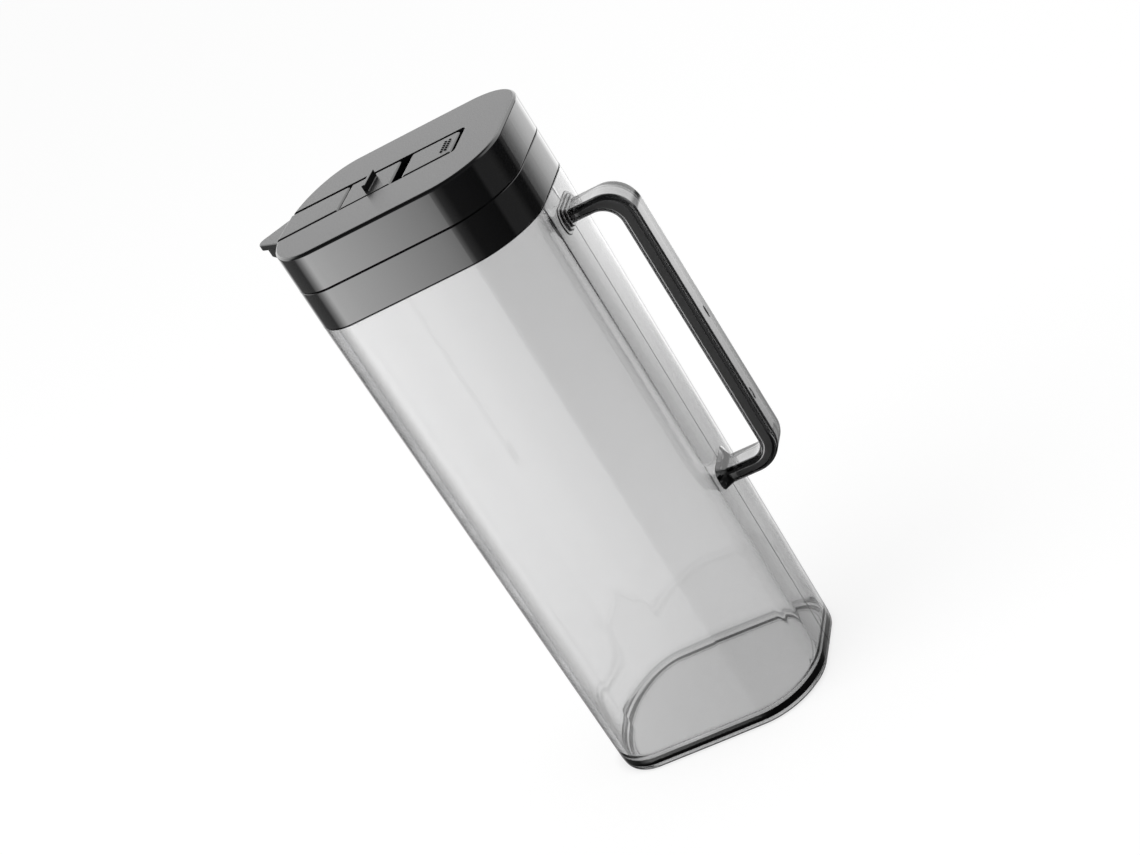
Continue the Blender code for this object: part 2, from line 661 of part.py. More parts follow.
def trough_plan(drawn):
    """The trough follows the channel's taper inside the lid and the beak in front of it."""

    def outline(edge):
        inset = drawn + edge
        front_x = RIM_FRONT_X + FIT_GAP + inset
        rear = channel_half_width(TROUGH_REAR_X) - TROUGH_GAP - inset
        front = channel_half_width(front_x) - TROUGH_GAP - inset
        tip = beak(front_x, TROUGH_LIP_X, NOSE_WIDTH, NOSE_TIP_RADIUS)(inset)
        back = [(TROUGH_REAR_X, -rear), (TROUGH_REAR_X, rear), (front_x, front)]
        return back + tip + [(front_x, -front)]

    return outline


def build_post(side):
    """One of the two posts on the deck that hold the lever's pin."""
    inner = side * (BEAM_WIDTH / 2 + POST_GAP)
    outer = inner + side * POST_WALL
    top = PIVOT_Z + PIN_RADIUS + PIN_CLEARANCE
    points = [
        (PIVOT_X - POST_HALF_LENGTH, DECK_BOTTOM_Z),
        (PIVOT_X + POST_HALF_LENGTH, DECK_BOTTOM_Z),
        (PIVOT_X + POST_HALF_LENGTH, PIVOT_Z),
    ]
    crown = top + BOSS_WALL - PIVOT_Z
    for angle in spread(0, math.pi, BEND_STEPS)[1:-1]:
        points.append((PIVOT_X + POST_HALF_LENGTH * math.cos(angle), PIVOT_Z + crown * math.sin(angle)))
    points.append((PIVOT_X - POST_HALF_LENGTH, PIVOT_Z))
    rings = [[(x, y, z) for x, z in points] for y in (inner, outer)]
    return loft(f"{side_name(side)}_post", rings, LID_PLASTIC)


def build_spigot():
    """The round peg on the deck that keeps the spring in place."""
    radius = SPRING_RADIUS - SPRING_WIRE / 2 - SPRING_SPIGOT_GAP

    def plan(edge):
        angles = spread(0, 2 * math.pi, ROUND_STEPS)[:-1]
        drawn = radius - edge
        return [(SPRING_X + drawn * math.cos(angle), drawn * math.sin(angle)) for angle in angles]

    return slab("spring_spigot", plan, DECK_BOTTOM_Z, BAND_TOP_Z + SPRING_SPIGOT_HEIGHT, PANEL_EDGE)


def build_gasket():
    """The silicone ring in the plug's groove, with three sealing ribs that face the neck."""
    inner = PLUG_INSET + GROOVE_DEPTH - FIT_GAP
    outer = BORE_INSET + FIT_GAP
    low = GASKET_Z - GASKET_HEIGHT / 2
    grooves = (0, GASKET_RIB, 0, GASKET_RIB, 0)
    heights = spread(low, low + GASKET_HEIGHT, len(grooves) - 1)
    rings = [jug_ring(outer + depth, z) for depth, z in zip(grooves, heights)]
    rings.append(jug_ring(inner, heights[-1]))
    rings.append(jug_ring(inner, heights[0]))
    return loft("lid_gasket", rings, "grey_silicone", looped=True)


def build_cover():
    """The upper band: a shell with a rounded top edge, an open channel and guides for the slider."""
    rings = [
        jug_ring(COVER_WALL, COVER_UNDERSIDE_Z),
        jug_ring(COVER_WALL, COVER_BOTTOM_Z),
        jug_ring(0, COVER_BOTTOM_Z),
    ]
    for across, along in quarter(COVER_EDGE_RADIUS, SMALL_STEPS):
        rings.append(jug_ring(across, JUG_HEIGHT - COVER_EDGE_RADIUS + along))
    cover = loft("lid_cover", rings, LID_PLASTIC)
    for side in (-1, 1):
        join(cover, build_guide(side))
    over = JUG_HEIGHT + OVERRUN
    channel = channel_panel(RIM_FRONT_X - OVERRUN, CHANNEL_REAR_X, 0, CHANNEL_CORNER)
    cut(cover, slab("channel_cutter", channel, COVER_UNDERSIDE_Z - FIT_GAP, over))
    mouth = channel_panel(RIM_FRONT_X - OVERRUN, HOLE_FRONT_X, 0, FIT_GAP)
    cut(cover, slab("mouth_cutter", mouth, TROUGH_RISE_Z - FIT_GAP, over))
    relief = channel_panel(TROUGH_FRONT_X - TROUGH_FLOOR - FIT_GAP, HOLE_FRONT_X, 0, FIT_GAP)
    cut(cover, slab("trough_relief", relief, COVER_BOTTOM_Z - OVERRUN, TROUGH_RISE_Z))
    return cover


def build_guide(side):
    """An L shaped guide under the cover's plate that carries the slider's rail on one side."""
    wall_y = RAIL_WIDTH / 2 + SLIDER_SIDE_GAP
    rail_bottom = SLIDER_TOP_Z - RAIL_DROP - RAIL_THICKNESS + FIT_GAP
    lip_top = rail_bottom - SLIDER_SIDE_GAP
    lip_y = RAIL_WIDTH / 2 - GUIDE_LIP_REACH
    points = [
        (lip_y, lip_top - GUIDE_LIP),
        (wall_y + GUIDE_WALL, lip_top - GUIDE_LIP),
        (wall_y + GUIDE_WALL, COVER_UNDERSIDE_Z + COVER_PLATE / 2),
        (wall_y, COVER_UNDERSIDE_Z + COVER_PLATE / 2),
        (wall_y, lip_top),
        (lip_y, lip_top),
    ]
    ends = (SLIDER_FRONT_X, SLIDER_REAR_X + SLIDER_TRAVEL + SLIDER_FRONT_GAP)
    rings = [[(x, side * y, z) for y, z in points] for x in ends]
    return loft(f"{side_name(side)}_guide", rings, LID_PLASTIC)


def build_lever():
    """One moulding: flap and nose in front, then a beam with the pin's boss, then the push panel."""
    flap_plan = channel_panel(RIM_FRONT_X, FLAP_REAR_X, FLAP_SIDE_GAP, PANEL_EDGE)
    lever = slab("pour_lever", flap_plan, PANEL_BOTTOM_Z, FLAP_TOP_Z, PANEL_EDGE)
    nose_plan = beak(RIM_FRONT_X + OVERRUN, NOSE_TIP_X, NOSE_WIDTH, NOSE_TIP_RADIUS)
    join(lever, slab("nose", nose_plan, NOSE_TOP_Z - NOSE_THICKNESS, NOSE_TOP_Z, PANEL_EDGE))
    half_stem = STEM_WIDTH / 2
    stem_low = (STEM_FRONT_X, -half_stem, SEAL_TOP_Z + FIT_GAP)
    stem_high = (STEM_REAR_X, half_stem, PANEL_BOTTOM_Z + PANEL_THICKNESS / 2)
    join(lever, block("stem", stem_low, stem_high))
    half_beam = BEAM_WIDTH / 2
    beam_rear = PUSH_REAR_X - BEAM_REAR_MARGIN
    beam_low = (STEM_REAR_X - OVERRUN, -half_beam, BEAM_BOTTOM_Z)
    join(lever, block("beam", beam_low, (beam_rear, half_beam, BEAM_TOP_Z)))
    boss_radius = PIN_RADIUS + PIN_CLEARANCE + BOSS_WALL - FIT_GAP
    axle = (PIVOT_X, PIVOT_Z)
    join(lever, pin("boss", axle, boss_radius, half_beam + POST_GAP - FIT_GAP * 2))
    panel_plan = channel_panel(PUSH_FRONT_X, PUSH_REAR_X, PUSH_SIDE_GAP, PANEL_CORNER)
    skirt_bottom = PANEL_BOTTOM_Z - PUSH_SKIRT_DEPTH
    panel = slab("push_panel", panel_plan, skirt_bottom, FLAP_TOP_Z, PANEL_EDGE)
    skirt_gap = PUSH_SIDE_GAP + PUSH_SKIRT_WALL
    hollow_plan = channel_panel(PUSH_FRONT_X - OVERRUN, PUSH_REAR_X - PUSH_SKIRT_WALL, skirt_gap, FIT_GAP)
    cut(panel, slab("panel_hollow", hollow_plan, skirt_bottom - OVERRUN, PANEL_BOTTOM_Z))
    join(lever, panel)
    for side in (-1, 1):
        low_y, high_y = sorted((side * (half_beam - BEAM_RIB), side * half_beam))
        low = (PUSH_FRONT_X + BEAM_REAR_MARGIN, low_y, BEAM_BOTTOM_Z + BEAM_THICKNESS / 2)
        high = (beam_rear, high_y, PANEL_BOTTOM_Z + PANEL_THICKNESS / 2)
        join(lever, block(f"{side_name(side)}_web", low, high))
    cut(lever, pin("boss_bore", axle, PIN_RADIUS + PIN_CLEARANCE, half_beam + POST_GAP + OVERRUN))
    return lever


def build_seal():
    """The silicone pad that closes the hole's rim, with a socket that grips the flap's stem."""
    low_x, high_x = HOLE_FRONT_X - HOLE_RIM_WALL - SEAL_MARGIN, HOLE_REAR_X + HOLE_RIM_WALL + SEAL_MARGIN
    half = HOLE_WIDTH / 2 + HOLE_RIM_WALL + SEAL_MARGIN
    corner = HOLE_CORNER + HOLE_RIM_WALL

    def pad_plan(edge):
        low, high, side = low_x + edge, high_x - edge, half - edge
        return rounded([(low, -side), (high, -side), (high, side), (low, side)], corner, SMALL_STEPS)

    def socket_plan(grow):
        def outline(edge):
            out = grow - edge
            low, high, side = STEM_FRONT_X - out, STEM_REAR_X + out, STEM_WIDTH / 2 + out
            return rounded([(low, -side), (high, -side), (high, side), (low, side)], FIT_GAP, SMALL_STEPS)

        return outline

    seal = slab("flap_seal", pad_plan, SEAL_BOTTOM_Z, SEAL_TOP_Z, PANEL_EDGE, "grey_silicone")
    socket_bottom = SEAL_TOP_Z - SEAL_THICKNESS / 2
    outside = socket_plan(FIT_GAP + SEAL_SOCKET_WALL)
    join(seal, slab("socket", outside, socket_bottom, SOCKET_TOP_Z, PANEL_EDGE, "grey_silicone"))
    cut(seal, slab("socket_hollow", socket_plan(FIT_GAP), SEAL_TOP_Z, SOCKET_TOP_Z + OVERRUN))
    return seal


def build_slider():
    """The lock: a sunk plate with a thumb fin, rails in the guides and tongues under the push panel."""
    plan = channel_panel(SLIDER_FRONT_X, SLIDER_REAR_X, SLIDER_SIDE_GAP, PANEL_EDGE)
    slider = slab("lock_slider", plan, SLIDER_TOP_Z - SLIDER_PLATE, SLIDER_TOP_Z, PANEL_EDGE)
    rail_top = SLIDER_TOP_Z - SLIDER_PLATE + FIT_GAP / 2
    for side in (-1, 1):
        name = side_name(side)
        rail_y = sorted((side * (RAIL_WIDTH / 2 - RAIL_BREADTH), side * RAIL_WIDTH / 2))
        low = (SLIDER_FRONT_X + FIT_GAP, rail_y[0], rail_top - RAIL_THICKNESS)
        high = (SLIDER_REAR_X - FIT_GAP, rail_y[1], rail_top)
        join(slider, block(f"{name}_rail", low, high))
        tongue_y = sorted((side * TONGUE_INNER / 2, side * (TONGUE_INNER / 2 + TONGUE_WIDTH)))
        foot_z = TONGUE_TOP_Z - TONGUE_THICKNESS
        root = SLIDER_REAR_X - TONGUE_ROOT
        points = [
            (root, foot_z),
            (SLIDER_REAR_X + TONGUE_REACH, foot_z),
            (SLIDER_REAR_X + TONGUE_REACH, TONGUE_TOP_Z),
            (SLIDER_REAR_X, TONGUE_TOP_Z),
            (SLIDER_REAR_X - FIT_GAP, SLIDER_TOP_Z - SLIDER_PLATE / 2),
            (root, SLIDER_TOP_Z - SLIDER_PLATE / 2),
        ]
        rings = [[(x, y, z) for x, z in points] for y in tongue_y]
        join(slider, loft(f"{name}_tongue", rings, LID_PLASTIC))
    half = FIN_THICKNESS / 2
    fin = [
        (FIN_X - half - FIN_ROOT, SLIDER_TOP_Z - SLIDER_PLATE / 2),
        (FIN_X + half + FIN_ROOT, SLIDER_TOP_Z - SLIDER_PLATE / 2),
        (FIN_X + half + FIN_ROOT, SLIDER_TOP_Z),
        (FIN_X + half, SLIDER_TOP_Z + FIN_ROOT),
        (FIN_X + half, SLIDER_TOP_Z + FIN_HEIGHT - FIN_ROOT),
        (FIN_X + half - FIN_ROOT, SLIDER_TOP_Z + FIN_HEIGHT),
        (FIN_X - half + FIN_ROOT, SLIDER_TOP_Z + FIN_HEIGHT),
        (FIN_X - half, SLIDER_TOP_Z + FIN_HEIGHT - FIN_ROOT),
        (FIN_X - half, SLIDER_TOP_Z + FIN_ROOT),
        (FIN_X - half - FIN_ROOT, SLIDER_TOP_Z),
    ]
    join(slider, profile("thumb_fin", fin, FIN_WIDTH / 2))
    return slider


def build_spring():
    """The steel coil between the deck and the beam, one unbroken wire with a closed coil at each end."""
    bottom = BAND_TOP_Z + SPRING_WIRE / 2 + FIT_GAP
    top = BEAM_BOTTOM_Z - SPRING_WIRE / 2 - FIT_GAP
    closed = SPRING_WIRE + FIT_GAP * 2
    open_turns = max(int((top - bottom - closed * 2) / SPRING_PITCH), 1)
    points = []
    for low, high, turns in (
        (bottom, bottom + closed, 1),
        (bottom + closed, top - closed, open_turns),
        (top - closed, top, 1),
    ):
        steps = turns * SPRING_POINTS
        for step in range(steps):
            angle = 2 * math.pi * step / SPRING_POINTS
            z = low + (high - low) * step / steps
            points.append((SPRING_X + SPRING_RADIUS * math.cos(angle), SPRING_RADIUS * math.sin(angle), z))
    points.append((SPRING_X + SPRING_RADIUS, 0, top))
    print_least_gap(points)
    curve = bpy.data.curves.new("return_spring", "CURVE")
    curve.dimensions = "3D"
    curve.bevel_depth = SPRING_WIRE / 2
    curve.bevel_resolution = 1
    curve.use_fill_caps = True
    wire = curve.splines.new("POLY")
    wire.points.add(len(points) - 1)
    for point, place in zip(wire.points, points):
        point.co = (*place, 1)
    return add_object("return_spring", curve, "spring_steel")


def print_least_gap(points):
    """The least gap between one turn of the wire and the next, in millimetres."""
    least = min(
        (Vector(point) - Vector(other)).length
        for index, point in enumerate(points)
        for other in points[index + SPRING_POINTS // 2 :]
    )
    print(f"return_spring: the least gap between turns is {(least - SPRING_WIRE) * 1000:.2f} mm")


def put_on_axis(name, place, pieces):
    """An empty on a joint's axis that carries the pieces that move about it."""
    axis = bpy.data.objects.new(name, None)
    axis.location = place
    bpy.context.scene.collection.objects.link(axis)
    for piece in pieces:
        piece.parent = axis
        piece.matrix_parent_inverse = Matrix.Translation(-Vector(place))
    return axis


def build_jug():
    build_body()
    base = build_lid_base()
    gasket = build_gasket()
    cover = build_cover()
    lever = build_lever()
    seal = build_seal()
    axle_length = BEAM_WIDTH / 2 + POST_GAP + POST_WALL + FIT_GAP
    lever_pin = pin("lever_pin", (PIVOT_X, PIVOT_Z), PIN_RADIUS, axle_length, "spring_steel")
    slider = build_slider()
    spring = build_spring()
    put_on_axis("lid_lift", (0, 0, SHOULDER_Z), [base, gasket, cover, lever_pin, spring])
    put_on_axis("lever_pivot", (PIVOT_X, 0, PIVOT_Z), [lever, seal])
    put_on_axis("lock_slide", (SLIDER_FRONT_X, 0, SLIDER_TOP_Z), [slider])
    stand_at_middle()


def stand_at_middle():
    """Carries everything so that the origin lies under the middle of the jug, its nose and its handle."""
    handle_x = wall_x(SHOULDER_Z) + HANDLE_REACH
    middle = bpy.data.objects.new("jug_middle", None)
    middle.location = (-(handle_x + NOSE_TIP_X) / 2, 0, 0)
    for obj in bpy.context.scene.collection.objects:
        if obj.parent is None:
            obj.parent = middle
    bpy.context.scene.collection.objects.link(middle)


for leftover in list(bpy.data.objects):
    bpy.data.objects.remove(leftover, do_unlink=True)
build_jug()
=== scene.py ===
import math

import bmesh
import bpy
from mathutils import Matrix, Vector


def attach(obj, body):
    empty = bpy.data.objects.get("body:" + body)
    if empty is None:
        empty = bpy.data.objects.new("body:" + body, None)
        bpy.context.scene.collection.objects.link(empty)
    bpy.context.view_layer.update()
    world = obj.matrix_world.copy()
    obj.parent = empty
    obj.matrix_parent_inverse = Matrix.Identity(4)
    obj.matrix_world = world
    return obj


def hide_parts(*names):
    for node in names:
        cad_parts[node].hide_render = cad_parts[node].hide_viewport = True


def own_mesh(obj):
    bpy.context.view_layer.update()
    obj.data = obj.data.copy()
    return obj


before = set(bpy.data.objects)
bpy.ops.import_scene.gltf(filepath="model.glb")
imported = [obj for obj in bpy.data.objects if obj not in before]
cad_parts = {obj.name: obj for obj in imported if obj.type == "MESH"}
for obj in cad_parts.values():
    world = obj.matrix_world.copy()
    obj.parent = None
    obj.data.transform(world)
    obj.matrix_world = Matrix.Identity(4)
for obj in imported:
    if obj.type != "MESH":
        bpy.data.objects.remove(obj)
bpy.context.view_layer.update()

# Clear vessel and handle. One moulding of smoke tinted clear plastic: a tapering oblong pot on a rimmed
# foot, with a raised spine behind the handle. The two halves of the mould leave a fine seam at both ends.
middle_x, shoulder_z = -0.0082, 0.244
foot_size, lid_size = (0.1058, 0.0908), (0.111, 0.097)
spout_corner, handle_corner = (0.026, 0.042), (0.027, 0.031)
side_crown, end_crown = 0.0007, 0.0006
spine_half, spine_depth, spine_ramp = 0.027, 0.00018, 0.003
seam_half, seam_height = 0.00022, 0.00011
vessel_wall, floor_z, floor_fillet = 0.0026, 0.0034, 0.0055
foot_edge, foot_draft, foot_rim, foot_recess = 0.0016, 0.0002, 0.0045, 0.0008
foot_band, foot_clear = 0.0022, 0.003
neck_inset, bore_inset, neck_top_z, neck_edge = 0.0021, 0.0043, 0.2582, 0.0006
shoulder_edge = 0.0003


def spread(first, last, steps):
    return [first + (last - first) * step / steps for step in range(steps + 1)]


def jug_outline(inset, z, spine=0.0, seam=0.0):
    """The jug's level outline, drawn in by inset, with the spine and the mould's seam raised on it."""
    share = min(z / shoulder_z, 1)
    half_length, half_width = (
        (foot + (lid - foot) * share) / 2 for foot, lid in zip(foot_size, lid_size)
    )
    crown = side_crown * (1 - inset / half_width)
    back_x, back_y = half_length - handle_corner[0], half_width - handle_corner[1]
    front_x, front_y = spout_corner[0] - half_length, half_width - spout_corner[1]
    back_long, back_wide = handle_corner[0] - inset, handle_corner[1] - inset
    front_long, front_wide = spout_corner[0] - inset, spout_corner[1] - inset
    edge = math.asin((spine_half - back_y) / handle_corner[1])
    ramp = spine_ramp / handle_corner[1]
    edge -= ramp / 2
    ridge = ((1, 0), (0.7, 0.5), (0, 1))
    half = [(back_x + back_long + spine + seam * lift, seam_half * place) for lift, place in ridge]
    half += [(back_x + back_long + spine, y) for y in spread(seam_half, back_y, 7)[1:-1]]
    turns = [(angle, spine) for angle in spread(0, edge, 12)]
    turns += [(edge + ramp * t, spine * (1 - t)) for t in spread(0, 1, 4)[1:]]
    turns += [(angle, 0) for angle in spread(edge + ramp, math.pi / 2, 26)[1:]]
    for angle, lift in turns:
        half.append((back_x + back_long * math.cos(angle) + lift, back_y + back_wide * math.sin(angle)))
    for x in spread(back_x, front_x, 8)[1:-1]:
        half.append((x, half_width - inset))
    for angle in spread(math.pi / 2, math.pi, 34):
        half.append((front_x + front_long * math.cos(angle), front_y + front_wide * math.sin(angle)))
    half += [(front_x - front_long - seam * lift, seam_half * place) for lift, place in reversed(ridge)]
    bowed = [
        (
            x + middle_x + end_crown * (1 - (y / half_width) ** 2) * max(x / half_length, 0),
            y + max(crown * (1 - (x / half_length) ** 2) * y / half_width, 0),
        )
        for x, y in half
    ]
    return [(x, y, z) for x, y in bowed] + [(x, -y, z) for x, y in reversed(bowed[1:-1])]


def skin(name, rings, looped=False):
    """A closed surface over rings of equal count, capped at both ends or closed into a ring."""
    count, shape = len(rings[0]), bmesh.new()
    rows = [[shape.verts.new(point) for point in ring] for ring in rings]
    for here, there in zip(rows, rows[1:] + rows[:1] if looped else rows[1:]):
        for column in range(count):
            beside = (column + 1) % count
            shape.faces.new((here[column], here[beside], there[beside], there[column]))
    if not looped:
        shape.faces.new(rows[0])
        shape.faces.new(rows[-1])
    bmesh.ops.recalc_face_normals(shape, faces=shape.faces)
    mesh = bpy.data.meshes.new(name)
    shape.to_mesh(mesh)
    shape.free()
    piece = bpy.data.objects.new(name, mesh)
    bpy.context.scene.collection.objects.link(piece)
    return piece


def quarter(radius, steps):
    """Pairs (across, along) of a quarter round, from the side it leaves to the side it reaches."""
    return [(radius * (1 - math.cos(a)), radius * math.sin(a)) for a in spread(0, math.pi / 2, steps)]


def work_in(piece):
    """The piece's modifiers become part of its mesh."""
    mesh = bpy.data.meshes.new_from_object(piece.evaluated_get(bpy.context.evaluated_depsgraph_get()))
    piece.modifiers.clear()
    piece.data = mesh


def carve(piece, steps):
    """Joins, cuts and trims a shape with others."""
    for operation, tool in steps:
        modifier = piece.modifiers.new(tool.name, "BOOLEAN")
        modifier.operation = {"join": "UNION", "cut": "DIFFERENCE", "trim": "INTERSECT"}[operation]
        modifier.object = tool
    work_in(piece)
    for _, tool in steps:
        bpy.data.objects.remove(tool)


def smooth(piece, degrees=32):
    """Smooth shading that keeps sharp edges and flat faces flat."""
    piece.data.shade_smooth()
    piece.data.set_sharp_from_angle(angle=math.radians(degrees))
    piece.modifiers.new("even normals", "WEIGHTED_NORMAL").keep_sharp = True
    work_in(piece)


def bore_at(z):
    return vessel_wall + (bore_inset - vessel_wall) * min(z / shoulder_z, 1)


vessel_rings = [
    jug_outline(foot_edge + foot_rim + foot_recess, foot_recess),
    jug_outline(foot_edge + foot_rim, 0),
]
vessel_rings += [
    jug_outline(foot_edge - along + foot_draft, across, spine_depth, seam_height * along / foot_edge)
    for across, along in quarter(foot_edge, 8)
]
for z in [foot_edge + foot_band] + spread(foot_edge + foot_clear, shoulder_z - shoulder_edge, 8):
    vessel_rings.append(jug_outline(0, z, spine_depth, seam_height))
for across, along in quarter(shoulder_edge, 3)[1:]:
    vessel_rings.append(jug_outline(across, shoulder_z - shoulder_edge + along, spine_depth))
vessel_rings += [jug_outline(neck_inset, shoulder_z), jug_outline(neck_inset, neck_top_z - neck_edge)]
for across, along in quarter(neck_edge, 4)[1:]:
    vessel_rings.append(jug_outline(neck_inset + across, neck_top_z - neck_edge + along))
for across, along in reversed(quarter(neck_edge, 4)):
    vessel_rings.append(jug_outline(bore_inset - across, neck_top_z - neck_edge + along))
fillet_top = floor_z + floor_fillet
for z in spread(shoulder_z, fillet_top, 6):
    vessel_rings.append(jug_outline(bore_at(z), z))
for across, along in quarter(floor_fillet, 10)[1:]:
    vessel_rings.append(jug_outline(bore_at(fillet_top) + across, fillet_top - along))
clear_jug = skin("clear_jug", vessel_rings)

# The handle's bar runs from a stepped collar under the lid to a flared collar below. Its edges are
# rounded, and its grip is thicker than its legs.
handle_reach, handle_width, handle_edge = 0.0292, 0.017, 0.0026
grip, upper_leg, lower_leg = 0.0082, 0.0062, 0.0072
upper_top_z, lower_bottom_z = 0.2342, 0.0928
root_straight, upper_root, lower_root = 0.008, 0.0022, 0.0013
upper_bend, upper_inner_bend, lower_bend, lower_inner_bend = 0.013, 0.009, 0.014, 0.006
collar_width, collar_height, collar_step, collar_edge = 0.029, 0.0126, 0.0011, 0.00025
flare_width, flare_height, flare_length, flare_slack = 0.031, 0.0122, 0.0052, 0.0003
dish_width, dish_height = 0.0013, 0.003


def wall_x(z):
    """The outside of the handle end at a height."""
    return middle_x + (foot_size[0] + (lid_size[0] - foot_size[0]) * z / shoulder_z) / 2 + spine_depth


def rounded(corners, radius, steps):
    """A closed outline with each corner replaced by an arc that is tangent to both sides."""
    outline = []
    for index, corner in enumerate(corners):
        here = Vector(corner)
        before = (Vector(corners[index - 1]) - here).normalized()
        after = (Vector(corners[(index + 1) % len(corners)]) - here).normalized()
        half_angle = before.angle(after) / 2
        centre = here + (before + after).normalized() * radius / math.sin(half_angle)
        start = here + before * radius / math.tan(half_angle) - centre
        end = here + after * radius / math.tan(half_angle) - centre
        outline += [tuple(centre + start.slerp(end, share) * radius) for share in spread(0, 1, steps)]
    return outline


def bar_section(middle, across, width, radius, steps=7):
    """A rounded oblong, square to the bar: across is its thickness as a vector."""
    half, unit = across.length / 2, across.normalized()
    corners = [(-half, -width / 2), (half, -width / 2), (half, width / 2), (-half, width / 2)]
    edge = min(radius, half - 0.0003)
    return [tuple(middle + unit * u + Vector((0, v, 0))) for u, v in rounded(corners, edge, steps)]


outer_x = wall_x(shoulder_z) + handle_reach
inner_x = outer_x - grip
upper_wall_x, lower_wall_x = wall_x(upper_top_z), wall_x(lower_bottom_z)
outer_line = [(upper_wall_x - upper_root, upper_top_z), (upper_wall_x + root_straight, upper_top_z)]
inner_line = [(x, upper_top_z - upper_leg) for x, _ in outer_line]
bend_steps = [(1 - math.sin(angle), 1 - math.cos(angle)) for angle in spread(0, math.pi / 2, 22)]
for back, down in bend_steps:
    outer_line.append((outer_x - upper_bend * back, upper_top_z - upper_bend * down))
    inner_line.append((inner_x - upper_inner_bend * back, upper_top_z - upper_leg - upper_inner_bend * down))
for up, back in bend_steps:
    outer_line.append((outer_x - lower_bend * back, lower_bottom_z + lower_bend * up))
    inner_line.append((inner_x - lower_inner_bend * back, lower_bottom_z + lower_leg + lower_inner_bend * up))
for x in (lower_wall_x + root_straight, lower_wall_x - lower_root):
    outer_line.append((x, lower_bottom_z))
    inner_line.append((x, lower_bottom_z + lower_leg))
bar_rings = []
for (x_out, z_out), (x_in, z_in) in zip(outer_line, inner_line):
    middle = Vector(((x_out + x_in) / 2, 0, (z_out + z_in) / 2))
    bar_rings.append(bar_section(middle, Vector((x_out - x_in, 0, z_out - z_in)), handle_width, handle_edge))
handle_bar = skin("handle_bar", bar_rings)

upper_z = upper_top_z - upper_leg / 2
plinth_rings, plinth_start = [], wall_x(upper_z) - upper_root
for step in range(3):
    width = collar_width + (handle_width - collar_width) * step / 3
    height = collar_height + (upper_leg - collar_height) * step / 3
    end = wall_x(upper_z) + collar_step * (step + 1)
    for x, tighten in ((plinth_start, 0), (end - collar_edge, 0), (end, collar_edge)):
        across = Vector((0, 0, height - tighten * 2))
        plinth_rings.append(bar_section(Vector((x, 0, upper_z)), across, width - tighten * 2, height / 2))
    plinth_start = end
stepped_collar = skin("stepped_collar", plinth_rings)

flare_z, foot_bar_z = lower_bottom_z + flare_height / 2, lower_bottom_z + lower_leg / 2
flare_root = Vector((wall_x(flare_z) - lower_root, 0, flare_z))
flare_rings = [bar_section(flare_root, Vector((0, 0, flare_height)), flare_width, flare_height / 2)]
for share in spread(0, 1, 14):
    flare = (1 - share) ** 2
    width = handle_width + (flare_width - handle_width) * flare - flare_slack * share
    height = lower_leg + (flare_height - lower_leg) * flare - flare_slack * share
    middle = Vector((wall_x(flare_z) + flare_length * share, 0, foot_bar_z + (flare_z - foot_bar_z) * flare))
    radius = handle_edge + (height / 2 - handle_edge) * flare
    flare_rings.append(bar_section(middle, Vector((0, 0, height)), width, radius))
flared_collar = skin("flared_collar", flare_rings)


def circle(steps):
    """Points round a circle of radius 1."""
    return [(math.cos(angle), math.sin(angle)) for angle in spread(0, 2 * math.pi, steps)[:-1]]


joints = [("join", stepped_collar), ("join", flared_collar)]
for number, (y, z) in enumerate(((0.0003, 0.166), (-0.004, 0.1258))):
    dish = [
        [(outer_x + depth, y + dish_width * wide * u, z + dish_height * wide * v) for u, v in circle(40)]
        for depth, wide in ((-0.0005, 0.75), (-0.0003, 0.97), (0.001, 1))
    ]
    joints.append(("cut", skin(f"ejector_dish_{number}", dish)))
carve(handle_bar, joints)
carve(clear_jug, [("join", handle_bar)])
smooth(clear_jug)


def feed(tree, fed, given):
    """Sets a node's inputs, by name or number, to values or to the outputs of other nodes."""
    for name, value in given.items():
        if isinstance(value, bpy.types.NodeSocket):
            tree.links.new(value, fed.inputs[name])
        else:
            fed.inputs[name].default_value = value


def node(tree, kind, given=(), **settings):
    """A new node with its settings and inputs."""
    made = tree.nodes.new(kind)
    for name, value in settings.items():
        setattr(made, name, value)
    feed(tree, made, dict(given))
    return made


def mixed(tree, factor, first, second, kind="RGBA"):
    """The mix of two colours, or of two values."""
    given = {"Factor": factor, "A": first, "B": second}
    return node(tree, "ShaderNodeMix", given, data_type=kind).outputs["Result"]


def ranged(tree, value, low, high, to_low=0, to_high=1, steps="LINEAR"):
    """A value moved from one range to another and kept inside it."""
    given = {"Value": value, "From Min": low, "From Max": high, "To Min": to_low, "To Max": to_high}
    return node(tree, "ShaderNodeMapRange", given, interpolation_type=steps).outputs["Result"]


def skin_pattern():
    """Noise that every moulded or drawn surface of the jug shares: slow flow marks and a fine grain."""
    group = bpy.data.node_groups.new("moulded skin", "ShaderNodeTree")
    for name, value in (("Flow Scale", 12.0), ("Flow Stretch", 1.0), ("Grain Scale", 900.0)):
        group.interface.new_socket(name, in_out="INPUT", socket_type="NodeSocketFloat").default_value = value
    for name in ("Flow", "Grain"):
        group.interface.new_socket(name, in_out="OUTPUT", socket_type="NodeSocketFloat")
    given = node(group, "NodeGroupInput").outputs
    place = node(group, "ShaderNodeTexCoord").outputs["Object"]
    squeeze = node(group, "ShaderNodeCombineXYZ", {0: 1, 1: 1, 2: given["Flow Stretch"]})
    stretch = node(group, "ShaderNodeVectorMath", {0: place, 1: squeeze.outputs[0]}, operation="MULTIPLY")
    flow = {"Vector": stretch.outputs[0], "Scale": given["Flow Scale"], "Detail": 3}
    grain = {"Vector": place, "Scale": given["Grain Scale"], "Detail": 2}
    flow, grain = (node(group, "ShaderNodeTexNoise", noise).outputs[0] for noise in (flow, grain))
    node(group, "NodeGroupOutput", {"Flow": flow, "Grain": grain})
    return group


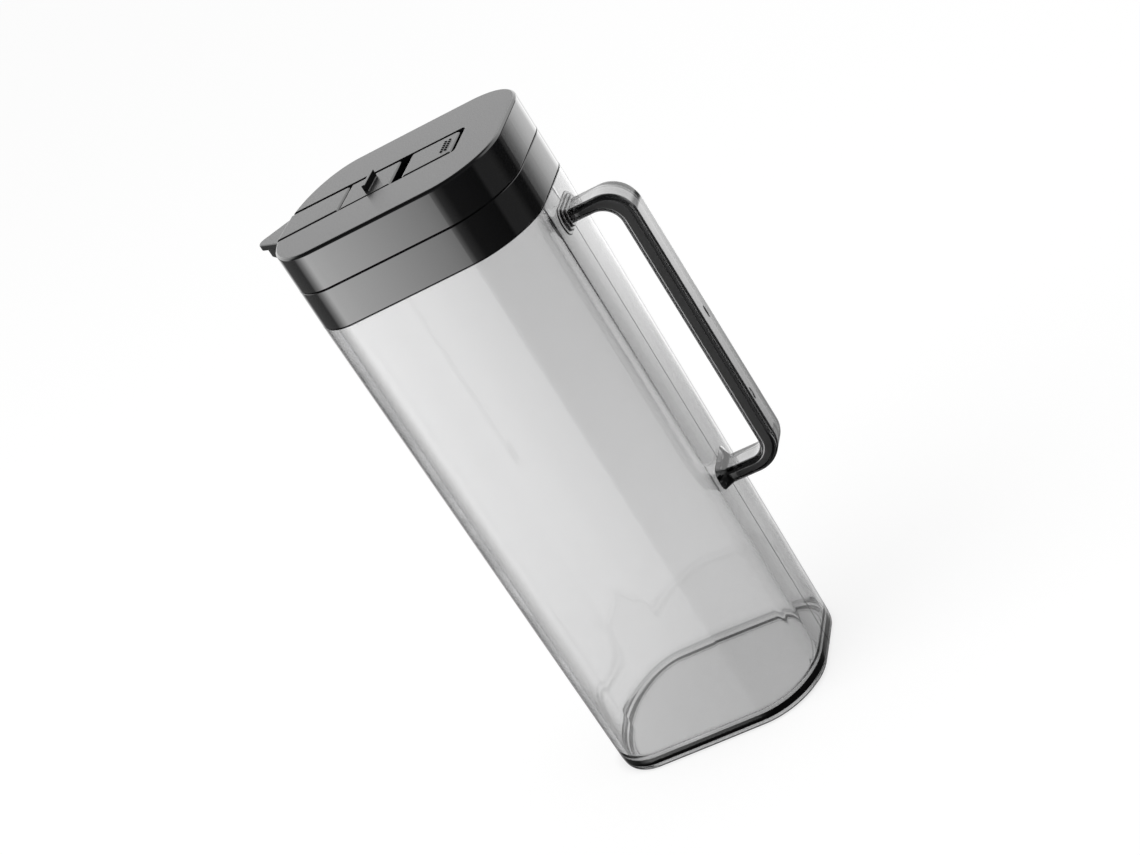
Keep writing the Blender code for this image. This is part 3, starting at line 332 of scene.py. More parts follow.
moulded_skin = skin_pattern()


def finish(name, colours, roughness, bump, flow_scale=12.0, flow_stretch=1.0, grain_scale=900.0, **sockets):
    """A shader whose colour and roughness wander with the flow marks, and whose grain raises its skin."""
    made = bpy.data.materials.new(name)
    made.use_nodes = True
    tree, shader = made.node_tree, made.node_tree.nodes["Principled BSDF"]
    scales = {"Flow Scale": flow_scale, "Flow Stretch": flow_stretch, "Grain Scale": grain_scale}
    pattern = node(tree, "ShaderNodeGroup", scales, node_tree=moulded_skin).outputs
    raised = {"Strength": bump[0], "Distance": bump[1], "Height": pattern["Grain"]}
    given = {socket.replace("_", " "): value for socket, value in sockets.items()}
    given["Base Color"] = mixed(tree, pattern["Flow"], *((*colour, 1) for colour in colours))
    given["Roughness"] = ranged(tree, pattern["Grain"], 0.3, 0.7, *roughness)
    given["Normal"] = node(tree, "ShaderNodeBump", raised).outputs["Normal"]
    feed(tree, shader, given)
    return made, shader


clear_plastic, clear_shader = finish(
    "smoke_clear_plastic",
    ((0.955, 0.955, 0.957), (0.985, 0.985, 0.985)),
    (0.01, 0.025),
    (0.06, 0.00002),
    flow_scale=9,
    flow_stretch=0.35,
    grain_scale=45,
    Transmission_Weight=1.0,
    IOR=1.55,
    Coat_Weight=0.85,
    Coat_Roughness=0.02,
)
tree = clear_plastic.node_tree
tint = node(tree, "ShaderNodeVolumeAbsorption", {"Color": (0.5, 0.5, 0.502, 1), "Density": 124})
feed(tree, tree.nodes["Material Output"], {"Volume": tint.outputs["Volume"]})
# Painted shade on the clear plastic, standing in for how dark its thick parts look: the handle's grained side
# faces and its roots are painted nearly black, with a thin painted dark line on its round edges, a grey
# outermost face, and a painted dark band round the foot.
handle_shade_paint = clear_jug.data.attributes.new("painted handle shade", "FLOAT", "POINT")
for spot, point, normal in zip(handle_shade_paint.data, clear_jug.data.vertices, clear_jug.data.vertex_normals):
    x, y, z = point.co
    lean_x, lean_y, lean_z = normal.vector
    outermost = x > outer_x - 0.0001
    side = 0 if outermost else abs(lean_y)
    # Painted shade: upward faces take less, and faces near the outermost face and on the round edges take a
    # painted dark line.
    painted_level = 0.1 if outermost else 0.1 - 0.07 * max(lean_z, 0)
    if side < 0.5:
        painted_level += 0.35 * max(1 - (outer_x - x) / 0.0015, 0)
    line = 0.8 if 0.35 < side < 0.5 else 0
    past_wall = x - wall_x(z)
    on_handle = min(max((past_wall - 0.0004) / 0.0014, 0), 1) if abs(y) < 0.0165 else 0
    spot.value = on_handle * (1 if side > 0.985 else min(max(painted_level, line, (side - 0.76) / 0.16), 0.85))
    # Painted shade: a dark band round the outside of the foot, fainter at its lowest part.
    if foot_edge - 0.0003 < z < foot_edge + 0.0025 and lean_x * (x - middle_x) + lean_y * y > 0:
        spot.value = 0.5 if z > foot_edge + 0.001 else 0.15
    # Painted shade: the flanks of the handle's roots are painted nearly black.
    elif past_wall < 0.006 and abs(y) > 0.0078:
        spot.value = on_handle * 0.75
# The painted shade's value, read back in the shader.
painted_shade = node(tree, "ShaderNodeAttribute", attribute_name="painted handle shade").outputs["Fac"]
clear_colour = clear_shader.inputs["Base Color"].links[0].from_socket
clear_gloss = clear_shader.inputs["Roughness"].links[0].from_socket
# The painted shade darkens the base colour towards near black; the fully painted side faces also turn rough
# and lose their coat.
painted_shade_looks = {
    "Base Color": mixed(tree, ranged(tree, painted_shade, 0, 0.8), clear_colour, (0.008, 0.0081, 0.0085, 1)),
    "Roughness": mixed(tree, ranged(tree, painted_shade, 0.88, 1), clear_gloss, 0.5, "FLOAT"),
    "Coat Weight": ranged(tree, painted_shade, 0.88, 1, 0.85, 0),
}
feed(tree, clear_shader, painted_shade_looks)


def coat(piece, *finishes):
    """Gives the piece its finishes, in order."""
    piece.data.materials.clear()
    for look in finishes:
        piece.data.materials.append(look)


def settle(piece, body, slot, *nodes):
    """The finished piece moves with its body and stands for its CAD nodes. Its slot is not used."""
    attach(piece, body)
    if nodes:
        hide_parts(*nodes)


coat(clear_jug, clear_plastic)
settle(clear_jug, "jug", "clear_body", "jug_body")

# Lower band of the lid. Glossy black moulding: a skirt flush with the vessel, a deck over its mouth, a
# short plug with the gasket's groove, the pouring hole with its trough and beak, and the lever's posts.
top_z, seam_z, seam_gap, fit_gap = 0.280, 0.2623, 0.0004, 0.0003
skirt_wall, band_edge = 0.0018, 0.00032
band_top_z, band_bottom_z = seam_z - seam_gap / 2, shoulder_z + fit_gap
deck_bottom_z, plug_bottom_z = band_top_z - 0.0022, 0.243
plug_inset, plug_wall = 0.0053, 0.0022
groove_depth, groove_low_z, groove_high_z = 0.0011, 0.2455, 0.2495
upstand_inset, upstand_wall, upstand_height = 0.0025, 0.0012, 0.0036
rim_x = middle_x - lid_size[0] / 2
channel_front, channel_rear, channel_length = 0.030, 0.0264, 0.0888
over = 0.002
trough_wall, trough_gap, trough_floor = 0.0011, 0.00045, 0.0013
trough_front_x, trough_lip_x = rim_x + 0.0047, rim_x - 0.011
flap_rear_x = rim_x + 0.0307
trough_rear_x = flap_rear_x - trough_gap
trough_top_z, rise_z, beam_low_z = top_z - 0.0009, top_z - 0.0112, top_z - 0.0094
nose_top_z, nose_thick, nose_width, nose_tip = top_z - 0.001, 0.0028, 0.0256, 0.0045
lip_z = nose_top_z - nose_thick - 0.0006
under_lip_z = lip_z - 0.0028
seal_top_z = beam_low_z - 0.003
seal_low_z = seal_top_z - 0.0016
hole_front_x, hole_rear_x = trough_front_x + 0.0058, trough_rear_x - 0.00425
hole_half, hole_wall, hole_corner = 0.008, 0.0012, 0.003
pivot_x, pivot_z = flap_rear_x + 0.0138, beam_low_z + 0.0034
axle_radius, axle_gap = 0.0012, 0.0003
beam_half, post_gap, post_wall, post_half = 0.0055, 0.0019, 0.0024, 0.0026
push_rear_x = rim_x + channel_length - 0.0024
push_front_x = push_rear_x - 0.0241
spring_x, spring_radius, spring_wire = push_front_x + 0.0132, 0.0031, 0.0007
peg_radius, peg_edge, peg_top_z = spring_radius - spring_wire / 2 - 0.0005, 0.0004, band_top_z + 0.0022


def level_slab(name, plan, levels):
    """A slab drawn up through levels (inset, height). plan(inset) gives its level outline."""
    return skin(name, [[(x, y, z) for x, y in plan(inset)] for inset, z in levels])


def side_profile(name, points, *sides):
    """A side view in x and z, drawn out across the jug from one side to the other."""
    return skin(name, [[(x, y, z) for x, z in points] for y in sides])


def box_plan(low_x, high_x, low_y, high_y):
    """The plan of a plain oblong."""
    return lambda inset: [
        (low_x + inset, low_y + inset),
        (high_x - inset, low_y + inset),
        (high_x - inset, high_y - inset),
        (low_x + inset, high_y - inset),
    ]


def oblong_plan(low_x, high_x, half, corner, steps):
    """The plan of an oblong with round corners."""

    def plan(inset):
        low, high, side = low_x + inset, high_x - inset, half - inset
        return rounded([(low, -side), (high, -side), (high, side), (low, side)], corner - inset, steps)

    return plan


def channel_half(x):
    return (channel_front + (channel_rear - channel_front) * (x - rim_x) / channel_length) / 2


def channel_plan(front_x, rear_x, gap, corner, steps=6):
    """The plan of a panel that lies in the channel and follows its taper."""

    def plan(inset):
        front, rear = channel_half(front_x) - gap - inset, channel_half(rear_x) - gap - inset
        low, high = front_x + inset, rear_x - inset
        return rounded([(low, -front), (high, -rear), (high, rear), (low, front)], corner, steps)

    return plan


def beak_plan(root_x, tip_x, width, radius):
    """The plan of the beak: straight sides drawn in to a round tip."""

    def plan(inset):
        half, tip = width / 2 - inset, radius - inset
        centre_x = tip_x + radius
        lean = math.atan2(half - tip, rim_x - centre_x)
        turn = spread(lean, math.pi / 2, 20)
        side = [(centre_x - tip * math.sin(angle), tip * math.cos(angle)) for angle in turn]
        upper = [(root_x, half), (rim_x, half)] + side
        return upper + [(x, -y) for x, y in reversed(upper[:-1])]

    return plan


def cross_rod(name, x, z, radius, half_length, edge=0.0):
    """A round rod across the jug."""
    ends = [(-half_length, edge), (edge - half_length, 0), (half_length - edge, 0), (half_length, edge)]
    rings = [
        [(x + (radius - tight) * u, y, z + (radius - tight) * v) for u, v in circle(48)]
        for y, tight in (ends if edge else ends[::3])
    ]
    return skin(name, rings)


lower_levels = [
    (upstand_inset + upstand_wall, band_top_z),
    (upstand_inset + upstand_wall, band_top_z + upstand_height),
    (upstand_inset, band_top_z + upstand_height),
    (upstand_inset, band_top_z),
    *[(across, band_top_z - band_edge + along) for across, along in reversed(quarter(band_edge, 4))],
    *[(across, band_bottom_z + band_edge - along) for across, along in quarter(band_edge, 4)],
    (skirt_wall, band_bottom_z),
    (skirt_wall, deck_bottom_z),
    (plug_inset, deck_bottom_z),
    (plug_inset, groove_high_z),
    (plug_inset + groove_depth, groove_high_z),
    (plug_inset + groove_depth, groove_low_z),
    (plug_inset, groove_low_z),
    (plug_inset, plug_bottom_z + band_edge),
    (plug_inset + band_edge, plug_bottom_z),
    (plug_inset + plug_wall, plug_bottom_z),
    (plug_inset + plug_wall, deck_bottom_z),
]
lid_lower_band = skin("lid_lower_band", [jug_outline(inset, z) for inset, z in lower_levels])


def trough_outline(drawn):
    """The trough follows the channel's taper inside the lid and the beak in front of it."""

    def plan(inset):
        inset = inset + drawn
        front_x = rim_x + fit_gap + inset
        rear = channel_half(trough_rear_x) - trough_gap - inset
        front = channel_half(front_x) - trough_gap - inset
        tip = beak_plan(front_x, trough_lip_x, nose_width, nose_tip)(inset)
        return [(trough_rear_x, -rear), (trough_rear_x, rear), (front_x, front)] + tip + [(front_x, -front)]

    return plan


step_x = rim_x + trough_wall + fit_gap * 2
inner_rear_x = trough_rear_x - trough_wall
wide = channel_front / 2 + over
trough_side = [
    (trough_rear_x, deck_bottom_z),
    (trough_rear_x, trough_top_z),
    (step_x, trough_top_z),
    (step_x, lip_z),
    (trough_lip_x - over, lip_z),
    (trough_lip_x - over, under_lip_z),
    (trough_front_x - trough_floor, rise_z),
    (trough_front_x - trough_floor, deck_bottom_z),
]
hollow_side = [
    (inner_rear_x, band_top_z),
    (inner_rear_x, top_z + over),
    (trough_lip_x - over * 2, top_z + over),
    (trough_lip_x - over * 2, under_lip_z + trough_floor),
    (trough_front_x, rise_z + trough_floor),
    (trough_front_x + trough_floor, band_top_z),
]
trough = side_profile("trough", trough_side, -wide, wide)
trough_hollow = side_profile("trough_hollow", hollow_side, -wide, wide)
inside = level_slab("trough_inside", trough_outline(trough_wall), [(0, deck_bottom_z), (0, top_z + over * 2)])
outside = level_slab("trough_outside", trough_outline(0), [(0, deck_bottom_z - over), (0, top_z + over)])
carve(trough_hollow, [("trim", inside)])
notch = box_plan(inner_rear_x - over, trough_rear_x + over, -wide, wide)
rear_notch = level_slab("rear_notch", notch, [(0, beam_low_z - 0.0007), (0, top_z + over)])
carve(trough, [("trim", outside), ("cut", trough_hollow), ("cut", rear_notch)])

hole = oblong_plan(hole_front_x, hole_rear_x, hole_half, hole_corner, 8)
hole_rim = level_slab("hole_rim", hole, [(-hole_wall, deck_bottom_z), (-hole_wall, seal_low_z - fit_gap)])
pour_hole = level_slab("pour_hole", hole, [(0, deck_bottom_z - over), (0, seal_low_z + over)])
steps = [("join", trough), ("join", hole_rim), ("cut", pour_hole)]
post_turn = [(math.cos(angle), math.sin(angle)) for angle in spread(0, math.pi, 18)[1:]]
post = [(pivot_x - post_half, deck_bottom_z), (pivot_x + post_half, deck_bottom_z)]
post += [(pivot_x + post_half, pivot_z)]
post += [(pivot_x + post_half * u, pivot_z + post_half * v) for u, v in post_turn]
for side in (-1, 1):
    inner = side * (beam_half + post_gap)
    steps.append(("join", side_profile(f"post_{side}", post, inner, inner + side * post_wall)))
post_reach = beam_half + post_gap + post_wall
steps.append(("cut", cross_rod("axle_hole", pivot_x, pivot_z, axle_radius + axle_gap, post_reach + over)))


def peg_plan(inset):
    return [(spring_x + (peg_radius - inset) * u, (peg_radius - inset) * v) for u, v in circle(48)]


peg_levels = [(0, deck_bottom_z), (0, peg_top_z - peg_edge), (peg_edge, peg_top_z)]
steps.append(("join", level_slab("spring_peg", peg_plan, peg_levels)))
carve(lid_lower_band, steps)
smooth(lid_lower_band)

gloss_plastic, _ = finish(
    "gloss_black_plastic",
    ((0.004, 0.0041, 0.0044), (0.0055, 0.0056, 0.006)),
    (0.055, 0.08),
    (0.02, 0.00001),
    flow_scale=25,
    grain_scale=300,
    IOR=1.5,
    Coat_Weight=1.0,
    Coat_Roughness=0.03,
)
coat(lid_lower_band, gloss_plastic)
settle(lid_lower_band, "lid", "lid_plastic", "lid_base")

# Gasket. A grey silicone ring, stretched into the plug's groove. Its outer face has three soft ribs
# that press on the vessel's neck.
gasket_low_z, gasket_high_z, rib_depth = 0.2458, 0.2492, 0.0003
gasket_inner, gasket_outer = plug_inset + groove_depth - fit_gap, bore_inset + fit_gap
gasket_height = gasket_high_z - gasket_low_z
gasket_levels = [(gasket_inner, gasket_low_z), (gasket_outer + rib_depth, gasket_low_z)]
for share in spread(1 / 12, 11 / 12, 30):
    rib = rib_depth * (1 - math.cos(share * 6 * math.pi)) / 2
    gasket_levels.append((gasket_outer + rib, gasket_low_z + gasket_height * share))
gasket_levels += [(gasket_outer + rib_depth, gasket_high_z), (gasket_inner, gasket_high_z)]
plug_gasket = skin("plug_gasket", [jug_outline(inset, z) for inset, z in gasket_levels], looped=True)
smooth(plug_gasket, 45)
silicone, _ = finish(
    "grey_silicone",
    ((0.28, 0.29, 0.3), (0.36, 0.37, 0.38)),
    (0.5, 0.68),
    (0.25, 0.00004),
    flow_scale=60,
    grain_scale=1400,
    IOR=1.42,
)
coat(plug_gasket, silicone)
settle(plug_gasket, "lid", "silicone", "lid_gasket")

# Return spring. A coil of bright drawn steel wire with closed ends, set over the peg of the deck. The real one
# is pressed flat as the push panel comes down; this one keeps its shape.
spring_low_z = band_top_z + spring_wire / 2 + fit_gap


def grower(name, sockets):
    """A node tree for a mesh, with its named inputs and their first values."""
    tree = bpy.data.node_groups.new(name, "GeometryNodeTree")
    tree.interface.new_socket("Geometry", in_out="OUTPUT", socket_type="NodeSocketGeometry")
    for word, value in sockets.items():
        kind = "NodeSocketInt" if isinstance(value, int) else "NodeSocketFloat"
        tree.interface.new_socket(word, in_out="INPUT", socket_type=kind).default_value = value
    tree.interface.new_socket("Material", in_out="INPUT", socket_type="NodeSocketMaterial")
    return tree, node(tree, "NodeGroupInput").outputs


def grow_out(tree, given, shape, place):
    """Moves the shape to its place and puts it out of the tree in the tree's material."""
    placed = node(tree, "GeometryNodeTransform", {"Geometry": shape, "Translation": place})
    real = node(tree, "GeometryNodeRealizeInstances", {0: placed.outputs[0]})
    painted = {"Geometry": real.outputs[0], "Material": given["Material"]}
    node(tree, "NodeGroupOutput", {0: node(tree, "GeometryNodeSetMaterial", painted).outputs[0]})


def maths(tree, operation, *given, kind="ShaderNodeMath"):
    """The outcome of a maths node, with its inputs in order."""
    return node(tree, kind, dict(enumerate(given)), operation=operation).outputs[0]


coil_sizes = {
    "Turns": 6.0,
    "Closed Share": 0.16,
    "Height": 0.0072,
    "Coil Radius": spring_radius,
    "Wire Radius": spring_wire / 2,
}
coil, given = grower("coil spring", coil_sizes)
turns = {
    "Resolution": 40,
    "Rotations": given["Turns"],
    "Start Radius": given["Coil Radius"],
    "End Radius": given["Coil Radius"],
    "Height": given["Height"],
}
spiral = node(coil, "GeometryNodeCurveSpiral", turns)
where = node(coil, "ShaderNodeSeparateXYZ", {0: node(coil, "GeometryNodeInputPosition").outputs[0]}).outputs
share = maths(coil, "DIVIDE", where["Z"], given["Height"])
eased = ranged(coil, share, 0, 1, 0, given["Height"], "SMOOTHSTEP")
closed = mixed(coil, given["Closed Share"], where["Z"], eased, "FLOAT")
moved_to = node(coil, "ShaderNodeCombineXYZ", {"X": where["X"], "Y": where["Y"], "Z": closed}).outputs[0]
wound = node(coil, "GeometryNodeSetPosition", {"Geometry": spiral.outputs[0], "Position": moved_to}).outputs[0]
wire = node(coil, "GeometryNodeCurvePrimitiveCircle", {"Resolution": 14, "Radius": given["Wire Radius"]})
drawn = {"Curve": wound, "Profile Curve": wire.outputs[0], "Fill Caps": True}
tube = node(coil, "GeometryNodeCurveToMesh", drawn)
grow_out(coil, given, tube.outputs[0], (spring_x, 0, spring_low_z))

spring_steel, _ = finish(
    "drawn_spring_steel",
    ((0.52, 0.52, 0.54), (0.68, 0.68, 0.69)),
    (0.16, 0.3),
    (0.3, 0.00002),
    flow_scale=220,
    grain_scale=2600,
    Metallic=1.0,
)


def grown(name, tree, **inputs):
    """A plain mesh made by a node tree, with the tree's named inputs set before it first runs."""
    piece = bpy.data.objects.new(name, bpy.data.meshes.new(name))
    bpy.context.scene.collection.objects.link(piece)
    grow = piece.modifiers.new(name, "NODES")
    grow.node_group = tree
    sockets = {item.name: item.identifier for item in tree.interface.items_tree if item.in_out == "INPUT"}
    for word, value in inputs.items():
        grow[sockets[word.replace("_", " ")]] = value
    work_in(piece)
    return piece


spring_top_z = beam_low_z - spring_wire / 2 - fit_gap
lever_spring = grown(
    "lever_spring",
    coil,
    Height=spring_top_z - spring_low_z,
    Closed_Share=0.45,
    Turns=5.5,
    Material=spring_steel,
)
smooth(lever_spring, 60)
settle(lever_spring, "lid", "steel", "return_spring")
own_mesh(lever_spring)

# Upper band of the lid. One shell in the same plastic as the lower band, glossy on its side and finely
# grained on top, with the open channel for flap, lock and push panel and two guides for the lock.
cover_wall, cover_edge, cover_plate = 0.0022, 0.0015, 0.0024
cover_low_z, plate_low_z = seam_z + seam_gap / 2, top_z - cover_plate
channel_chamfer = 0.0002
cover_levels = [
    (cover_wall, plate_low_z),
    (cover_wall, cover_low_z),
    *[(across, cover_low_z + band_edge - along) for across, along in reversed(quarter(band_edge, 4))],
    *[(across, top_z - cover_edge + along) for across, along in quarter(cover_edge, 12)],
]
lid_upper_band = skin("lid_upper_band", [jug_outline(inset, z) for inset, z in cover_levels])
rail_half, slider_gap = 0.0156, 0.0004
slider_top_z, slider_plate = top_z - 0.0014, 0.0015
slider_front_x, slider_rear_x = flap_rear_x + 0.0007, push_front_x - 0.0056
guide_top_z = slider_top_z - 0.0033 + fit_gap - slider_gap
hook_inner, hook_outer, hook_wall, hook_thick = rail_half - 0.002, rail_half + slider_gap, 0.0014, 0.0013
steps = []
for side in (-1, 1):
    hook = [
        (hook_inner, guide_top_z - hook_thick),
        (hook_outer + hook_wall, guide_top_z - hook_thick),
        (hook_outer + hook_wall, plate_low_z + cover_plate / 2),
        (hook_outer, plate_low_z + cover_plate / 2),
        (hook_outer, guide_top_z),
        (hook_inner, guide_top_z),
    ]
    rings = [[(x, side * y, z) for y, z in hook] for x in (slider_front_x, slider_rear_x + 0.0057)]
    steps.append(("join", skin(f"guide_{side}", rings)))
channel_rear_x = rim_x + channel_length
channel = channel_plan(rim_x - over, channel_rear_x, 0, 0.0022)
channel_levels = [(0, plate_low_z - fit_gap), (0, top_z - channel_chamfer)]
channel_levels += [(-channel_chamfer, top_z), (-channel_chamfer, top_z + over)]
steps.append(("cut", level_slab("channel", channel, channel_levels)))
mouth = channel_plan(rim_x - over, hole_front_x, 0, 0.0003)
steps.append(("cut", level_slab("mouth", mouth, [(0, rise_z - fit_gap), (0, top_z + over)])))
carve(lid_upper_band, steps)
smooth(lid_upper_band)
satin_plastic, _ = finish(
    "satin_black_plastic",
    ((0.022, 0.0222, 0.0228), (0.028, 0.0282, 0.0288)),
    (0.3, 0.4),
    (0.35, 0.00004),
    flow_scale=18,
    grain_scale=1500,
    IOR=1.5,
    Coat_Weight=0.5,
    Coat_Roughness=0.22,
)


def dress(piece, side_finish, top_finish, top_from_z):
    """Sides and insides take the first finish, and level faces above a height the second."""
    coat(piece, side_finish, top_finish)
    for face in piece.data.polygons:
        face.material_index = int(face.normal.z > 0.97 and face.center.z > top_from_z)


dress(lid_upper_band, gloss_plastic, satin_plastic, top_z - 0.0003)
settle(lid_upper_band, "lid", "lid_plastic", "lid_cover")

# Axle. A short steel pin with turned ends, pushed through the two posts of the deck and the boss of the
# pour lever.
lever_axle = cross_rod("lever_axle", pivot_x, pivot_z, axle_radius, post_reach + fit_gap, 0.0002)
smooth(lever_axle)
coat(lever_axle, spring_steel)
settle(lever_axle, "lid", "steel", "lever_pin")

# Pour lever. One moulding: the flap with its nose over the beak, a stem for the hole's pad, a beam with
# the axle's boss under the lock, and the push panel at the handle end with its skirt.
panel_thick, panel_corner, panel_round, push_gap = 0.0026, 0.0004, 0.0012, 0.0015
panel_low_z = top_z - 0.0002 - panel_thick
flap_side_gap = trough_gap + trough_wall + 0.00035
nose_low_z, nose_edge, nose_round = nose_top_z - nose_thick, 0.0002, 0.0006


def rounded_top(high_z, radius, steps):
    """The last levels of a panel whose upper edge is round."""
    return [(across, high_z - radius + along) for across, along in quarter(radius, steps)]


flap = channel_plan(rim_x, flap_rear_x, flap_side_gap, panel_corner)
flap_levels = [(0, panel_low_z)] + rounded_top(top_z, panel_round, 8)
pour_lever_moulding = level_slab("pour_lever_moulding", flap, flap_levels)
nose = beak_plan(rim_x + over, rim_x - 0.0133, nose_width, nose_tip)
nose_levels = [(nose_edge, nose_low_z), (0, nose_low_z + nose_edge)] + rounded_top(nose_top_z, nose_round, 5)
stem_margin = 0.002
stem_front_x, stem_rear_x = hole_front_x + stem_margin, hole_rear_x - stem_margin
stem_half = hole_half - stem_margin
beam_rear_x, beam_thick = push_rear_x - 0.004, 0.0028
boss_radius = axle_radius + axle_gap + 0.0008
push_low_z, push_corner, push_wall = panel_low_z - 0.0028, 0.0012, 0.0012
push = channel_plan(push_front_x, push_rear_x, push_gap, push_corner)
push_panel = level_slab("push_panel", push, [(0, push_low_z)] + rounded_top(top_z, panel_round, 8))
hollow = channel_plan(push_front_x - over, push_rear_x - push_wall, 0.002, 0.0003)
carve(push_panel, [("cut", level_slab("hollow", hollow, [(0, push_low_z - over), (0, panel_low_z)]))])
stem = box_plan(stem_front_x, stem_rear_x, -stem_half, stem_half)
beam = box_plan(stem_rear_x - over, beam_rear_x, -beam_half, beam_half)
web_top_z = panel_low_z + panel_thick / 2
steps = [
    ("join", level_slab("nose", nose, nose_levels)),
    ("join", level_slab("stem", stem, [(0, seal_top_z + fit_gap), (0, web_top_z)])),
    ("join", level_slab("beam", beam, [(0, beam_low_z), (0, beam_low_z + beam_thick)])),
    ("join", cross_rod("boss", pivot_x, pivot_z, boss_radius, beam_half + post_gap - fit_gap * 2)),
    ("join", push_panel),
]
for side in (-1, 1):
    low_y, high_y = sorted((side * (beam_half - 0.0014), side * beam_half))
    web = box_plan(push_front_x + 0.004, beam_rear_x, low_y, high_y)
    steps.append(("join", level_slab(f"web_{side}", web, [(0, beam_low_z + beam_thick / 2), (0, web_top_z)])))
bore = cross_rod("boss_bore", pivot_x, pivot_z, axle_radius + axle_gap, beam_half + post_gap + over)
steps.append(("cut", bore))
carve(pour_lever_moulding, steps)
smooth(pour_lever_moulding)
dress(pour_lever_moulding, gloss_plastic, satin_plastic, nose_top_z - 0.0002)
settle(pour_lever_moulding, "lever", "lid_plastic", "pour_lever")

# Touch mark. Two rows of small raised dots near the rear edge of the push panel show where the thumb
# presses. They stand where the real panel has a word.
dot_sizes = {"Rows": 2, "Dots": 6, "Pitch": 0.0021, "Dot Radius": 0.0008, "Rise": 0.00055}
dots, given = grower("rows of dots", dot_sizes)
spots = {"Vertices X": given["Rows"], "Vertices Y": given["Dots"]}
for count, side in (("Rows", "Size X"), ("Dots", "Size Y")):
    spots[side] = maths(dots, "MULTIPLY", maths(dots, "SUBTRACT", given[count], 1), given["Pitch"])
dot_size = {"X": given["Dot Radius"], "Y": given["Dot Radius"], "Z": given["Rise"]}
ball = node(dots, "GeometryNodeMeshUVSphere", {"Segments": 20, "Rings": 12, "Radius": 1})
rows = {
    "Points": node(dots, "GeometryNodeMeshGrid", spots).outputs["Mesh"],
    "Instance": ball.outputs["Mesh"],
    "Scale": node(dots, "ShaderNodeCombineXYZ", dot_size).outputs[0],
}
dotted = node(dots, "GeometryNodeInstanceOnPoints", rows).outputs[0]
grow_out(dots, given, dotted, (push_rear_x - 0.0046, 0, top_z))
touch_mark = grown("touch_mark", dots, Material=gloss_plastic)
smooth(touch_mark, 60)
settle(touch_mark, "lever", "lid_plastic")

# Pad under the flap. A soft grey silicone plate with a socket that grips the flap's stem. It closes the
# rim of the pouring hole.
pad_corner, pad_edge, pad_margin = 0.0042, 0.0003, hole_wall + 0.0012
socket_wall, socket_edge, socket_top_z = 0.0015, 0.0003, beam_low_z - 0.0008
pad = oblong_plan(hole_front_x - pad_margin, hole_rear_x + pad_margin, hole_half + pad_margin, pad_corner, 10)
grip_plan = oblong_plan(stem_front_x - fit_gap, stem_rear_x + fit_gap, stem_half + fit_gap, 0.0003, 4)
pad_levels = [(pad_edge, seal_low_z), (0, seal_low_z + pad_edge)]
pad_levels += [(0, seal_top_z - 0.0004), (0.0004, seal_top_z)]
hole_pad = level_slab("hole_pad", pad, pad_levels)
socket_levels = [(-socket_wall, seal_top_z - 0.0008), (-socket_wall, socket_top_z - socket_edge)]
socket = level_slab("socket", grip_plan, socket_levels + [(socket_edge - socket_wall, socket_top_z)])
socket_hollow = level_slab("socket_hollow", grip_plan, [(0, seal_top_z), (0, socket_top_z + over)])
carve(hole_pad, [("join", socket), ("cut", socket_hollow)])
smooth(hole_pad)
coat(hole_pad, silicone)
settle(hole_pad, "lever", "silicone", "flap_seal")

# Lock. A sunk plate that slides in the channel on two rails, with an upright thumb fin and two tongues
# that reach under the push panel.
plate = channel_plan(slider_front_x, slider_rear_x, slider_gap * 3.5, panel_corner)
plate_top_z = top_z - 0.0001
plate_levels = [(0, slider_top_z - slider_plate)] + rounded_top(plate_top_z, panel_round, 8)
lock_plate = level_slab("lock_plate", plate, plate_levels)
rail_top_z, rail_thick, rail_wide = slider_top_z - slider_plate + fit_gap / 2, 0.0015, 0.0046
tongue_top_z, tongue_thick, tongue_reach, tongue_root = panel_low_z - 0.0032, 0.0018, 0.004, 0.0037
tongue = [
    (slider_rear_x - tongue_root, tongue_top_z - tongue_thick),
    (slider_rear_x + tongue_reach, tongue_top_z - tongue_thick),
    (slider_rear_x + tongue_reach, tongue_top_z),
    (slider_rear_x, tongue_top_z),
    (slider_rear_x - fit_gap, slider_top_z - slider_plate / 2),
    (slider_rear_x - tongue_root, slider_top_z - slider_plate / 2),
]
steps = []
for side in (-1, 1):
    low_y, high_y = sorted((side * (rail_half - rail_wide), side * rail_half))
    rail = box_plan(slider_front_x + fit_gap, slider_rear_x - fit_gap, low_y, high_y)
    steps.append(("join", level_slab(f"rail_{side}", rail, [(0, rail_top_z - rail_thick), (0, rail_top_z)])))
    steps.append(("join", side_profile(f"tongue_{side}", tongue, side * 0.0071, side * 0.0105)))
fin_x, fin_half, fin_thick = slider_front_x + (slider_rear_x - slider_front_x) * 0.5257, 0.00825, 0.0016
fin_plan = box_plan(fin_x - fin_thick / 2, fin_x + fin_thick / 2, -fin_half, fin_half)
fin_top_z = slider_top_z + 0.0045
fin_levels = [
    (-0.0002, plate_top_z - 0.0005),
    (-0.0002, plate_top_z),
    (-0.00006, plate_top_z + 0.00008),
    (0, plate_top_z + 0.0002),
    (0, fin_top_z - 0.0002),
    (0.00006, fin_top_z - 0.00008),
    (0.00018, fin_top_z),
]
steps.append(("join", level_slab("thumb_fin", fin_plan, fin_levels)))
carve(lock_plate, steps)
smooth(lock_plate)
dress(lock_plate, gloss_plastic, satin_plastic, plate_top_z - 0.0003)
